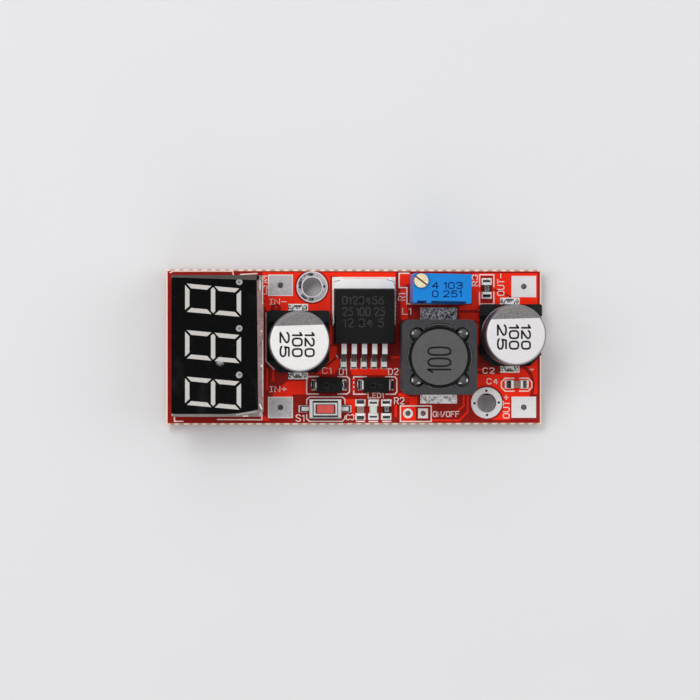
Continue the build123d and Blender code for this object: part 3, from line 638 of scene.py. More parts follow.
@dataclass(frozen=True)
class Solder(Shiny):
    """Bright solder that froze in soft lumps, with the painted slope shade left off the fillet along the
    regulator's tab.
    """

    lump_mm: float = 0.45
    unshaded_back_mm: float = 11.0
    unshaded_right_mm: float = 7.8

    def hue(self, paint: Paint) -> Sock:
        """Mix the solder's painted dark slopes with the unshaded fillet along the tab.

        Args:
            paint: The material in the making.

        Returns:
            The colour's socket.
        """
        across, along = paint.offsets()
        back = along.rise(self.unshaded_back_mm - 0.1, self.unshaded_back_mm + 0.1)
        left = 1 - across.rise(self.unshaded_right_mm - 0.1, self.unshaded_right_mm + 0.1)
        return paint.blend(back * left, super().hue(paint), self.colour)

    def height(self, paint: Paint) -> Sock:
        """Return the height of the lumps."""
        return paint.cloud(self.lump_mm, 3.0).rise(*CRISP)


@dataclass(frozen=True)
class RoughTin(Finish):
    """Tin that froze in sharp crystals, with facets painted bright and dark as glints and shade."""

    facet_mm: float = 0.2
    # dark and bright: painted shade and painted glints on the crystal facets
    dark: Colour = tone(62, 58, 60)
    bright: Colour = tone(250, 248, 250)
    mid_band: Point = (0.36, 0.52)
    facet_glint_band: Point = (0.62, 0.85)

    def hue(self, paint: Paint) -> Sock:
        """Mix the facets' painted glints and shade over the base colour.

        Args:
            paint: The material in the making.

        Returns:
            The colour's socket.
        """
        facets = paint.crystals(self.facet_mm) * 0.6 + paint.cloud(self.facet_mm * 1.6, 3.0) * 0.6
        shade = paint.blend(facets.rise(*self.mid_band), self.dark, self.colour)
        return paint.blend(facets.rise(*self.facet_glint_band), shade, self.bright)


@dataclass(frozen=True)
class CanSkin(Finish):
    """Satin can whose side is painted darker than its top as shade, with the dark segment that marks its
    minus side.
    """

    centre_mm: Point = (0.0, 0.0)
    chord_mm: float = 2.6
    lean: float = 0.03
    segment: Colour = tone(124, 120, 120)
    # bare: the side's tone, painted darker than the top as shade
    bare: Colour = tone(146, 146, 150)
    top_mm: float = 13.0
    chord_blur_mm: float = 0.04
    flat_band: Point = (0.75, 0.9)
    speck_mm: float = 0.16
    mark_speck_mm: float = 0.24
    streak_mm: float = 0.25
    side_stretch: Size = (1.0, 1.0, 0.06)

    def top(self, paint: Paint) -> Sock:
        """Return 1 on the level top and 0 on the side."""
        level = paint.axis(paint.place(), "Z").rise(self.top_mm - 0.4, self.top_mm - 0.3)
        return paint.upward().rise(*self.flat_band) * level

    def hue(self, paint: Paint) -> Sock:
        """Mix the top's tone, the segment, and the side's painted shade.

        Args:
            paint: The material in the making.

        Returns:
            The colour's socket.
        """
        across, along = paint.offsets(self.centre_mm)
        chord = (self.chord_mm - self.chord_blur_mm, self.chord_mm + self.chord_blur_mm)
        past = (along - across * self.lean).rise(*chord)
        # The top's tone; the side's darker tone is painted shade
        lacquer = paint.shades(paint.cloud(self.speck_mm, 2.0).rise(*CRISP), self.colour, 0.93, 1.05)
        dark = paint.shades(paint.cloud(self.mark_speck_mm, 3.0).rise(*SOFT), self.segment, 0.72, 1.3)
        streaks = paint.cloud(self.streak_mm, 2.0, self.side_stretch).rise(*SOFT)
        side = paint.shades(streaks, self.bare, 0.85, 1.1)
        return paint.blend(self.top(paint), side, paint.blend(past, lacquer, dark))

    def apply(self, paint: Paint) -> None:
        """Lay the finish on, with less metal and more roughness on the level top.

        Args:
            paint: The material in the making.
        """
        super().apply(paint)
        top = self.top(paint)
        paint.coat({"Metallic": 0.85 - 0.65 * top, "Roughness": 0.3 + 0.22 * top})


@dataclass(frozen=True)
class Turned(Finish):
    """Lathe-turned metal with rings round its axis and painted shade deep in its slot."""

    centre_mm: Point = (0.0, 0.0)
    face_mm: float = 13.65
    slot_band_mm: Point = (0.06, 0.14)
    slot_shade: Colour = tone(150, 96, 44)

    def hue(self, paint: Paint) -> Sock:
        """Mix brass with the painted shade deep in the slot.

        Args:
            paint: The material in the making.

        Returns:
            The colour's socket.
        """
        face = paint.axis(paint.place(), "Z")
        deep = face.rise(*(self.face_mm - depth for depth in self.slot_band_mm))
        return paint.blend(deep, super().hue(paint), self.slot_shade)

    def height(self, paint: Paint) -> Sock:
        """Return the height of the turning rings."""
        beat = paint.radius(self.centre_mm) * (2 * math.pi / self.grain_mm)
        return beat.sine() * 0.5 + 0.5


@dataclass(frozen=True)
class Smeared(Finish):
    """Glossy dark film with faint smears, dust and one scuffed spot."""

    smear: Colour = tone(40, 40, 44)
    scuff: Colour = tone(168, 166, 164)
    scuff_mm: Point = (-22.4, -2.35)
    scuff_reach_mm: float = 1.0
    smear_mm: float = 3.5
    smear_stretch: Size = (1.0, 0.5, 1.0)
    smear_band: Point = (0.58, 0.8)
    dust_mm: float = 0.22
    dust_band: Point = (0.74, 0.8)
    ragged_mm: float = 0.3

    def hue(self, paint: Paint) -> Sock:
        """Mix the film with smears and specks of dust.

        Args:
            paint: The material in the making.

        Returns:
            The colour's socket.
        """
        smears = paint.cloud(self.smear_mm, 4.0, self.smear_stretch).rise(*self.smear_band) * 0.5
        dust = paint.cloud(self.dust_mm, 0.0).rise(*self.dust_band)
        film = paint.blend(smears.most(dust * 0.4), self.colour, self.smear)
        ragged = paint.radius(self.scuff_mm) + paint.cloud(self.ragged_mm, 3.0) * 0.9
        worn = 1 - ragged.rise(self.scuff_reach_mm - 0.3, self.scuff_reach_mm + 0.3)
        return paint.blend(worn * 0.8, film, self.scuff)


class Glyphs:
    """Letters and numerals drawn with a single pen line, four units wide and six high."""

    LINES: dict[str, tuple[tuple[Point, ...], ...]] = {
        "0": (((1, 0), (3, 0), (4, 1), (4, 5), (3, 6), (1, 6), (0, 5), (0, 1), (1, 0)),),
        "1": (((1, 4.8), (2.4, 6)), ((2.4, 6), (2.4, 0))),
        "2": (((0, 4.8), (0.8, 6), (3.2, 6), (4, 5), (4, 3.8), (0, 0)), ((0, 0), (4, 0))),
        "3": (
            ((0, 5.2), (1, 6), (3, 6), (4, 5.2), (4, 4), (3, 3.2), (1.6, 3.2)),
            ((1.6, 3.2), (3, 3.2), (4, 2.4), (4, 0.8), (3, 0), (1, 0), (0, 0.8)),
        ),
        "4": (((3, 0), (3, 6)), ((3, 6), (0, 2)), ((0, 2), (4, 2))),
        "5": (
            ((3.8, 6), (0.5, 6)),
            ((0.5, 6), (0.2, 3.2)),
            ((0.2, 3.2), (1, 3.8), (3, 3.8), (4, 2.8), (4, 1), (3, 0), (1, 0), (0, 0.9)),
        ),
        "6": (
            ((3.4, 6), (1, 4.4), (0, 2.6), (0, 1), (1, 0), (3, 0), (4, 1), (4, 2.4), (3, 3.4), (1, 3.4)),
        ),
        "C": (((4, 5), (3, 6), (1, 6), (0, 5), (0, 1), (1, 0), (3, 0), (4, 1)),),
        "D": (((0, 0), (0, 6), (2.6, 6), (4, 4.6), (4, 1.4), (2.6, 0), (0, 0)),),
        "E": (((4, 6), (0, 6), (0, 0), (4, 0)), ((0, 3.1), (3, 3.1))),
        "F": (((4, 6), (0, 6), (0, 0)), ((0, 3.1), (3, 3.1))),
        "I": (((0.8, 6), (3.2, 6)), ((2, 6), (2, 0)), ((0.8, 0), (3.2, 0))),
        "L": (((0, 6), (0, 0), (4, 0)),),
        "N": (((0, 0), (0, 6), (4, 0), (4, 6)),),
        "O": (((1, 0), (3, 0), (4, 1), (4, 5), (3, 6), (1, 6), (0, 5), (0, 1), (1, 0)),),
        "R": (((0, 0), (0, 6), (3, 6), (4, 5), (4, 4), (3, 3), (0, 3)), ((1.9, 3), (4, 0))),
        "S": (((4, 5), (3, 6), (1, 6), (0, 5), (0, 4.1), (4, 1.9), (4, 1), (3, 0), (1, 0), (0, 1)),),
        "T": (((0, 6), (4, 6)), ((2, 6), (2, 0))),
        "U": (((0, 6), (0, 1), (1, 0), (3, 0), (4, 1), (4, 6)),),
        "+": (((2, 1.2), (2, 4.8)), ((0.2, 3), (3.8, 3))),
        "-": (((0.2, 3), (3.8, 3)),),
        "/": (((0.4, 0), (3.6, 6)),),
    }
    HEIGHT: float = 6.0
    SPACE: float = 1.7
    BLANK: float = 2.6

    @classmethod
    def word(cls, text: str) -> list[list[Point]]:
        """Lay out a word on its base line.

        Args:
            text: The word.

        Returns:
            Its pen lines, with both coordinates scaled to run from 0 to 1.
        """
        pen, lines = 0.0, []
        for letter in text:
            strokes = cls.LINES.get(letter, ())
            if not strokes:
                pen += cls.BLANK
                continue
            left = min(x for stroke in strokes for x, _ in stroke)
            right = max(x for stroke in strokes for x, _ in stroke)
            lines += [[(x - left + pen, y / cls.HEIGHT) for x, y in stroke] for stroke in strokes]
            pen += right - left + cls.SPACE
        total = pen - cls.SPACE
        return [[(x / total, y) for x, y in line] for line in lines]


@dataclass(frozen=True)
class Label:
    """A printed word, and the box that it fills in the picture."""

    text: str
    left: float
    top: float
    right: float
    bottom: float
    reading: Reading = Reading.LEVEL


class FlatWork:
    """Thin raised work on a level face, such as print or copper, gathered in one mesh."""

    SAME_PLACE: float = 1e-7
    SHARPEST_MITRE: float = 0.6
    CAP_STEPS: int = 6

    def __init__(self, name: str, level: float, thickness: float, facing: Facing = Facing.UP) -> None:
        """Start flat work.

        Args:
            name: Name of its piece.
            level: Height of the face that it lies on.
            thickness: How far it rises from the face.
            facing: The side that it rises to.
        """
        self.name = name
        self.level = level
        self.thickness = thickness
        self.facing = facing
        self.mesh = bmesh.new()

    def corner(self, place: Point) -> bmesh.types.BMVert:
        """Add one corner at the work's level."""
        return self.mesh.verts.new((place[0], place[1], self.level))

    def patch(self, corners: Sequence[Point]) -> None:
        """Add one filled patch with the given corners."""
        self.mesh.faces.new([self.corner(place) for place in corners])

    def dot(self, centre: Point, radius: float, sides: int) -> None:
        """Add a round dot."""
        self.patch(circle(centre, radius, sides))

    def ring(self, centre: Point, inner: float, outer: float, sides: int) -> None:
        """Add a flat ring.

        Args:
            centre: The ring's centre.
            inner: Radius of its hole.
            outer: Its own radius.
            sides: How many flat sides stand for its roundness.
        """
        for step in range(sides):
            start, end = (2 * math.pi * (step + extra) / sides for extra in (0, 1))
            corners = [(inner, start), (outer, start), (outer, end), (inner, end)]
            self.patch([around(centre, radius, angle) for radius, angle in corners])

    def area(self, outline: Sequence[Point], holes: Iterable[Sequence[Point]] = ()) -> None:
        """Add a filled area with holes in it.

        Args:
            outline: Its corners in order.
            holes: Corners of each hole in order.
        """
        edges = []
        for loop in (outline, *holes):
            corners = [self.corner(place) for place in loop]
            for first, second in zip(corners, corners[1:] + corners[:1]):
                edges.append(self.mesh.edges.new((first, second)))
        bmesh.ops.triangle_fill(self.mesh, use_beauty=True, use_dissolve=False, edges=edges)

    def line(self, points: Sequence[Point], width: float) -> None:
        """Draw a pen line with mitred corners and round ends.

        Args:
            points: The line's points in order; the last repeats the first in a closed line.
            width: The pen's width.
        """
        spots = [Vector(point) for point in points]
        closed = (spots[0] - spots[-1]).length < self.SAME_PLACE
        before = [spots[-2] if closed else None, *spots[:-1]]
        after = [*spots[1:], spots[1] if closed else None]
        sides = []
        for spot, last, following in zip(spots, before, after):
            ways = [] if last is None else [(spot - last).normalized()]
            ways += [] if following is None else [(following - spot).normalized()]
            lefts = [Vector((-way.y, way.x)) for way in ways]
            spread = max(self.SHARPEST_MITRE, 1 + lefts[0].dot(lefts[-1]))
            offset = (lefts[0] + lefts[-1]) / spread * width / 2
            sides.append((spot + offset, spot - offset))
        for (left, right), (next_left, next_right) in zip(sides, sides[1:]):
            self.patch([tuple(right), tuple(next_right), tuple(next_left), tuple(left)])
        if not closed:
            for spot, nearby in ((spots[0], spots[1]), (spots[-1], spots[-2])):
                self.cap(spot, (spot - nearby).normalized(), width / 2)

    def cap(self, spot: Vector, way: Vector, radius: float) -> None:
        """Round off the end of a line.

        Args:
            spot: Where the line ends.
            way: The direction that it points in there.
            radius: Half of its width.
        """
        base = math.atan2(way.y, way.x) - math.pi / 2
        angles = [base + math.pi * step / self.CAP_STEPS for step in range(self.CAP_STEPS + 1)]
        self.patch([around(spot, radius, angle) for angle in angles])

    def word(
        self,
        text: str,
        low: Point,
        high: Point,
        pen: float,
        reading: Reading = Reading.LEVEL,
        smooth: bool = False,
    ) -> None:
        """Write a word so that it fills a box.

        Args:
            text: The word.
            low: The box's corner with the smaller coordinates.
            high: Its corner with the larger coordinates.
            pen: The pen's width.
            reading: Which way the word reads.
            smooth: Whether corners are rounded, as in printed numerals.
        """
        left, front = low[0] + pen / 2, low[1] + pen / 2
        width, depth = high[0] - low[0] - pen, high[1] - low[1] - pen
        for stroke in Glyphs.word(text):
            if reading is Reading.LEVEL:
                points = [(left + u * width, front + v * depth) for u, v in stroke]
            elif reading is Reading.CLIMBING:
                points = [(left + width - v * width, front + u * depth) for u, v in stroke]
            else:
                points = [(left + v * width, front + depth - u * depth) for u, v in stroke]
            self.line(rounded(points) if smooth else points, pen)

    def label(self, label: Label, pen: float, height_mm: float = 0.0, smooth: bool = False) -> None:
        """Write a label where the picture has it.

        Args:
            label: The word and its box.
            pen: The pen's width.
            height_mm: Height of the face above the board's top.
            smooth: Whether corners are rounded.
        """
        low = RULER.place(label.left, label.bottom, height_mm)
        high = RULER.place(label.right, label.top, height_mm)
        self.word(label.text, low, high, pen, label.reading, smooth)

    def piece(self, finish: Finish, slot: str) -> bpy.types.Object:
        """Raise the work off its face and make it a piece.

        Args:
            finish: Its finish.
            slot: The record's material slot that the finish belongs to; not used.

        Returns:
            The piece.
        """
        sign = self.facing.value
        for face in self.mesh.faces:
            face.normal_update()
            if face.normal.z * sign < 0:
                face.normal_flip()
        raised = bmesh.ops.extrude_face_region(self.mesh, geom=list(self.mesh.faces))["geom"]
        corners = [item for item in raised if isinstance(item, bmesh.types.BMVert)]
        bmesh.ops.translate(self.mesh, verts=corners, vec=(0, 0, sign * self.thickness))
        return settle(self.name, self.mesh, finish)


@dataclass(frozen=True)
class PrintedFace:
    """Words on one level face of a part."""

    name: str
    labels: tuple[Label, ...]
    top_mm: float
    pen: float
    ink: float
    finish: Finish
    slot: str
    smooth: bool = True

    def build(self) -> None:
        """Print the words as one piece."""
        work = FlatWork(self.name, self.top_mm * MM, self.ink)
        for label in self.labels:
            work.label(label, self.pen, self.top_mm - BOARD_TOP_MM, self.smooth)
        work.piece(self.finish, self.slot)


def rounded(points: Sequence[Point]) -> list[Point]:
    """Cut the corners of a pen line twice, so that it looks drawn by a round hand.

    Args:
        points: The line's points in order.

    Returns:
        The points of the rounder line.
    """
    for _ in range(2):
        cut = [points[0]]
        for (x, y), (nx, ny) in zip(points, points[1:]):
            cut.append((x * 0.75 + nx * 0.25, y * 0.75 + ny * 0.25))
            cut.append((x * 0.25 + nx * 0.75, y * 0.25 + ny * 0.75))
        points = [*cut, points[-1]]
    return list(points)


def settle(
    name: str, mesh: bmesh.types.BMesh, finish: Finish, smooth: bool = False
) -> bpy.types.Object:
    """Turn a mesh in the making into a dressed piece that rides on the root body.

    Args:
        name: The piece's name.
        mesh: The mesh in the making, which is used up.
        finish: Its finish.
        smooth: Whether its faces are shaded as one curved skin.

    Returns:
        The piece.
    """
    data = bpy.data.meshes.new(name)
    mesh.to_mesh(data)
    mesh.free()
    data.polygons.foreach_set("use_smooth", [smooth] * len(data.polygons))
    piece = bpy.data.objects.new(name, data)
    bpy.context.scene.collection.objects.link(piece)
    finish.dress(piece)
    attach(piece, ROOT_BODY)
    log.info("%s: %d faces", name, len(data.polygons))
    return piece


def around(centre: Point | Vector, radius: float, angle: float) -> Point:
    """Return the place at an angle and a distance from a centre."""
    return centre[0] + radius * math.cos(angle), centre[1] + radius * math.sin(angle)


def circle(centre: Point, radius: float, sides: int = 20) -> list[Point]:
    """Return the corners of a round outline."""
    return [around(centre, radius, 2 * math.pi * step / sides) for step in range(sides)]


def arc(centre: Point, radius: float, start_deg: float, end_deg: float, corners: int = 20) -> list[Point]:
    """Return corners along an arc.

    Args:
        centre: The arc's centre.
        radius: Its radius.
        start_deg: Where it starts, in degrees against the clock from the right.
        end_deg: Where it ends.
        corners: How many corners it has.

    Returns:
        The corners in order.
    """
    turn = (end_deg - start_deg) / (corners - 1)
    angles = [math.radians(start_deg + turn * step) for step in range(corners)]
    return [around(centre, radius, angle) for angle in angles]


@dataclass(frozen=True)
class Palette:
    """Every finish of the module."""

    board: Finish = MaskedLaminate(
        "lacquer_on_laminate", tone(150, 16, 8), rough=0.34, wander=0.14, patch_mm=3.0,
        grain_depth_mm=0.001, specular=0.22,
    )
    copper: Finish = Finish(
        "lacquer_on_copper", tone(254, 38, 4), rough=0.32, wander=0.08, patch_mm=2.5,
        grain_depth_mm=0.001, specular=0.22,
    )
    gap: Finish = Finish("lacquer_in_gaps", tone(104, 10, 6), rough=0.4, grain_depth_mm=0.001, specular=0.2)
    ink: Finish = Finish(
        "white_ink", tone(244, 214, 208), rough=0.6, wander=0.12, patch_mm=0.5, grain_mm=0.1,
        grain_depth_mm=0.003,
    )
    wire_land: Finish = TinnedLand(
        "tinned_wire_lands", tone(190, 186, 188), metal=0.2, wander=0.22,
        lands_mm=((-12.365, 10.35), (-12.365, -10.1), (28.5, 10.17), (28.5, -10.1)),
    )
    ring_land: Finish = StainedLand("tinned_rings", tone(182, 178, 184), rough=0.45, metal=0.3, wander=0.3)
    land: Finish = Finish(
        "tinned_lands", tone(238, 232, 228), rough=0.42, metal=0.12, wander=0.14, patch_mm=0.5,
        grain_depth_mm=0.01,
    )
    # Bright tin for painted highlights on rims and beside the regulator
    highlight_tin: Finish = Finish("highlight_tin", tone(228, 224, 228), rough=0.4, metal=0.3, wander=0.12, patch_mm=0.6)
    solder: Finish = Solder(
        "solder_joints", tone(242, 240, 240), rough=0.28, metal=0.3, slope_shade=0.04,
        flat=(0.965, 0.995), grain_depth_mm=0.04,
    )
    rough_tin: Finish = RoughTin(
        "crystal_tin", tone(190, 187, 188), rough=0.4, metal=0.05, grain_depth_mm=0.02, facet_mm=0.3
    )
    # A paler copy of the crystal tin, for the front pad; the back pad takes the darker copy
    pale_tin: Finish = RoughTin(
        "pale_crystal_tin", tone(222, 219, 218), rough=0.4, metal=0.05, grain_depth_mm=0.02,
        facet_mm=0.34, dark=tone(150, 148, 146),
    )
    pin: Finish = Shiny(
        "tinned_pins", tone(246, 243, 244), rough=0.36, metal=0.25, slope_shade=0.05, steep=(0.08, 0.25),
        specular=0.3, grain_depth_mm=0.002,
    )
    tab: Finish = Streaked(
        "tinned_tab", tone(252, 250, 250), metal=0.05, wander=0.04, stretch=(0.08, 1.0, 1.0)
    )
    shell: Finish = Finish(
        "display_shell_plastic", tone(178, 168, 168), rough=0.2, patch_mm=1.6, clear_coat=0.4
    )
    # Flat strip painted darker as the shade of the shell's slanted front side
    slope: Finish = Streaked(
        "shaded_slanted_edge", tone(122, 118, 114), rough=0.3, wander=0.3, stretch=(0.1, 1.0, 1.0)
    )
    back_margin: Finish = Streaked(
        "back_margin", tone(78, 73, 66), rough=0.3, wander=0.35, patch_mm=3.0, stretch=(0.1, 1.0, 1.0)
    )
    right_margin: Finish = Streaked(
        "right_margin", tone(138, 112, 112), rough=0.2, wander=0.4, patch_mm=1.4, grain_mm=0.3,
        clear_coat=0.5,
    )
    # Painted glints on the display shell's edges
    glint: Finish = Finish("painted_edge_glint", tone(222, 212, 214), rough=0.15, wander=0.15, patch_mm=0.8)
    film: Finish = Smeared("display_film", tone(8, 8, 8), rough=0.25, specular=0.08, grain_depth_mm=0.0006)
    bar: Finish = Streaked("light_bar_resin", tone(196, 192, 188), wander=0.08, patch_mm=0.6)
    point: Finish = Finish("light_point_resin", tone(158, 156, 152), wander=0.2, grain_mm=0.1)
    core: Finish = Finish("light_point_core", tone(104, 102, 100), wander=0.2, grain_mm=0.1)
    resin: Finish = Finish("cast_resin", tone(206, 200, 188), rough=0.35, grain_depth_mm=0.01)
    epoxy: Finish = Finish(
        "moulded_epoxy", tone(19, 18, 19), rough=0.6, wander=0.25, grain_mm=0.09, grain_depth_mm=0.006,
        specular=0.14,
    )
    laser: Finish = Finish(
        "laser_marks", tone(56, 54, 54), rough=0.7, wander=0.3, grain_mm=0.1, specular=0.15
    )
    faint_laser: Finish = Finish(
        "faint_laser_marks", tone(38, 37, 37), rough=0.7, wander=0.3, grain_mm=0.1, specular=0.15
    )
    cap_base: Finish = Finish(
        "capacitor_base_plastic", tone(26, 29, 30), rough=0.4, wander=0.2, grain_mm=0.3, specular=0.2
    )
    input_can: Finish = CanSkin("input_can", tone(236, 233, 232), centre_mm=(-9.4, 0.93), chord_mm=2.62)
    output_can: Finish = CanSkin("output_can", tone(226, 223, 225), centre_mm=(26.15, 2.005), chord_mm=2.66)
    dark_ink: Finish = Finish(
        "dark_ink", tone(34, 32, 34), rough=0.6, wander=0.3, patch_mm=0.4, grain_mm=0.1, specular=0.15
    )
    drum_ink: Finish = Finish("drum_paint", tone(22, 22, 23), wander=0.3, grain_mm=0.1, specular=0.15)
    ferrite: Finish = Finish(
        "shield_ferrite", tone(60, 60, 62), rough=0.45, wander=0.18, patch_mm=1.2, grain_mm=0.2,
        grain_depth_mm=0.012, specular=0.22,
    )
    drum: Finish = Finish(
        "drum_ferrite", tone(88, 87, 88), rough=0.6, patch_mm=0.8, grain_mm=0.12, specular=0.15
    )
    wire: Finish = Streaked("enamelled_wire", tone(150, 74, 34), rough=0.3, metal=0.6, wander=0.15)
    glue: Finish = Finish(
        "dark_glue", tone(64, 64, 66), rough=0.45, wander=0.3, grain_mm=0.5, grain_depth_mm=0.03
    )
    # Dark glue, partly painted shade round the drum
    bore_glue_and_shade: Finish = Finish(
        "bore_glue_and_shade", tone(32, 32, 33), rough=0.45, wander=0.4, patch_mm=0.6, grain_mm=0.3, specular=0.12
    )
    glue_ridge: Finish = Finish(
        "glue_ridge", tone(84, 84, 86), rough=0.4, wander=0.4, patch_mm=0.8, grain_mm=0.3
    )
    # Tin brightened to the glints' tone: partly wire ends, partly painted glints
    wire_glint_tin: Finish = Finish(
        "wire_end_glint_tin", tone(206, 205, 205), rough=0.25, metal=0.3, wander=0.2, patch_mm=0.4
    )
    blue: Finish = Finish(
        "blue_moulding", tone(16, 128, 212), rough=0.32, specular=0.3, wander=0.05, patch_mm=2.4,
        grain_mm=0.2, grain_depth_mm=0.003,
    )
    blue_ink: Finish = Finish(
        "deep_blue_marks", tone(6, 52, 118), rough=0.45, wander=0.15, grain_mm=0.1, specular=0.08
    )
    brass: Finish = Turned(
        "turned_brass", tone(250, 226, 192), rough=0.4, metal=0.35, wander=0.2, patch_mm=0.7,
        grain_mm=0.14, centre_mm=(10.5264, 10.87669),
    )
    sheet: Finish = PressedSheet(
        "pressed_sheet", tone(226, 224, 224), rough=0.3, metal=0.35, wander=0.08, stretch=(0.1, 1.0, 1.0),
        slope_shade=0.04,
    )
    button_tin: Finish = Framed(
        "button_tin", tone(240, 238, 236), rough=0.36, metal=0.3, centre_mm=(-4.9, -10.33),
        half_mm=(9.0, 0.5), band=(0.55, 0.8),
    )
    # Painted shade for grooves round terminals and creases on the tab
    groove: Finish = Finish("painted_groove_shade", tone(52, 48, 50), wander=0.3, grain_mm=0.1, specular=0.2)
    plunger: Finish = Framed(
        "red_plunger", tone(204, 82, 72), rough=0.45, specular=0.3, wander=0.08, patch_mm=0.8,
        grain_mm=0.1, centre_mm=(-4.9, -10.33), half_mm=(1.63, 0.785), band=(0.8, 0.93),
        edge=tone(52, 30, 28),
    )
    brown_chip: Finish = Finish("brown_ceramic", tone(146, 118, 104), wander=0.15, grain_mm=0.12)
    black_chip: Finish = Finish(
        "black_glaze", tone(22, 22, 24), rough=0.28, wander=0.2, grain_mm=0.12, specular=0.2
    )
    chip_end: Finish = Solder(
        "tinned_chip_ends", tone(246, 243, 240), rough=0.35, metal=0.15, grain_depth_mm=0.012,
        slope_shade=0.5,
    )
    chip_ink: Finish = Finish("chip_marks", tone(170, 170, 164), rough=0.6, wander=0.2, grain_mm=0.08)
    lamp_base: Finish = Finish("lamp_strip", tone(214, 220, 210), wander=0.06)
    lamp_lens: Finish = Finish(
        "lamp_resin", tone(208, 218, 206), rough=0.25, wander=0.12, patch_mm=0.5, clear_coat=0.5
    )
    # Dark dots painted as the shade inside holes that are not cut
    hole: Finish = Finish("painted_hole_shade", tone(14, 12, 12), rough=0.8, wander=0.3)
    bare_core: Finish = Finish("tin_inside_holes", tone(96, 94, 96), rough=0.4, metal=0.6, wander=0.25)


PALETTE = Palette()

NODE_FINISHES: dict[str, tuple[str, ...]] = {
    "board": ("board",),
    "wire_land": ("wire_pads",),
    "ring_land": ("screw_rings",),
    "land": ("header_lands", "surface_pads"),
    "solder": ("surface_solder", "pin_solder"),
    "rough_tin": ("inductor_clips",),
    "pin": (
        "display_pins", "meter_chip_leads", "meter_supply_leads", "input_capacitor_terminals",
        "output_capacitor_terminals", "regulator_leads", "trimmer_pins", "input_diode_leads",
        "output_diode_leads",
    ),
    "button_tin": ("button_terminals",),
    "tab": ("regulator_tab",),
    "shell": ("display_shell",),
    "film": ("display_face",),
    "bar": ("display_bars",),
    "resin": ("display_potting", "trimmer_potting"),
    "epoxy": (
        "meter_chip_body", "meter_supply_body", "regulator_body", "input_diode_body", "output_diode_body",
        "button_base",
    ),
    "cap_base": ("input_capacitor_base", "output_capacitor_base"),
    "input_can": ("input_capacitor_can",),
    "output_can": ("output_capacitor_can",),
    "ferrite": ("inductor_shield",),
    "drum": ("inductor_drum",),
    "wire": ("inductor_winding",),
    "blue": ("trimmer_housing",),
    "brass": ("trimmer_screw",),
    "sheet": ("button_cover", "button_dome"),
    "plunger": ("button_plunger",),
    "brown_chip": ("ceramic_capacitor_body", "filter_capacitor_body", "meter_capacitor_body"),
    "black_chip": ("lamp_resistor_body", "feedback_resistor_body", "meter_resistor_body"),
    "chip_end": (
        "ceramic_capacitor_ends", "filter_capacitor_ends", "meter_capacitor_ends", "lamp_resistor_ends",
        "feedback_resistor_ends", "meter_resistor_ends", "lamp_ends",
    ),
    "lamp_base": ("lamp_base",),
    "lamp_lens": ("lamp_lens",),
}


class Nodes:
    """The frame's own nodes, which keep their shapes and get their finishes here."""

    def build(self) -> None:
        """Dress every node, and stop if one has been forgotten."""
        for finish, names in NODE_FINISHES.items():
            getattr(PALETTE, finish).dress(*names)
        dressed = {name for names in NODE_FINISHES.values() for name in names}
        forgotten = sorted(set(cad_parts) - dressed)
        if forgotten:
            raise ValueError(f"these nodes have no finish: {forgotten}")
        log.info("%d nodes dressed", len(dressed))


SCREW_PLACES: Outline = ((312.1, 286.9), (487.1, 403.0))
HEADER_PLACES: Outline = ((408.1, 413.4), (423.3, 413.4))
HEADER_HOLES_MM: Outline = ((9.01, -11.11), (11.55, -11.11))
INPUT_MINUS_START: Outline = ((262.5, 272.4), (301.5, 272.4))
INPUT_MINUS_REST: Outline = (
    (322.7, 272.4), (395.8, 272.4), (395.8, 326), (331.8, 326), (331.8, 345), (268, 345),
    (268, 313), (263.5, 305), (262.5, 298),
)
PLUS_NOTCH: Outline = (
    (275.7, 303.2), (279.6, 304.6), (281.2, 308.5), (279.6, 312.2), (271.8, 312.2), (270.4, 308.5),
    (271.8, 304.6),
)
OUTPUT_MINUS: Outline = (
    (472.4, 273), (538.3, 273), (538.3, 304.2), (533, 304.2), (530, 310.2), (459.6, 310.2),
    (459.6, 305.6), (472.4, 304.4),
)
RESISTOR_BED: Outline = ((481.2, 275.8), (493.2, 275.8), (493.2, 302.8), (481.2, 302.8))
OUTPUT_PLUS: Outline = (
    (477.2, 374.2), (500.5, 374.2), (503, 372.5), (519, 372.5), (522, 368), (526, 370.5),
    (530, 375.5), (532.6, 382), (532.6, 388), (531, 394.3), (529.5, 397.2), (511, 397.2),
    (511, 420.2), (492.6, 420.2),
)
HEADER_COLUMN: Outline = (
    (401, 405.5), (409.5, 404.5), (409.5, 399), (398.3, 396), (398.3, 393), (404, 393), (410, 396.8),
    (417.4, 396.8), (417.4, 404.9), (416, 405.5), (416, 421.3), (401, 421.3),
)
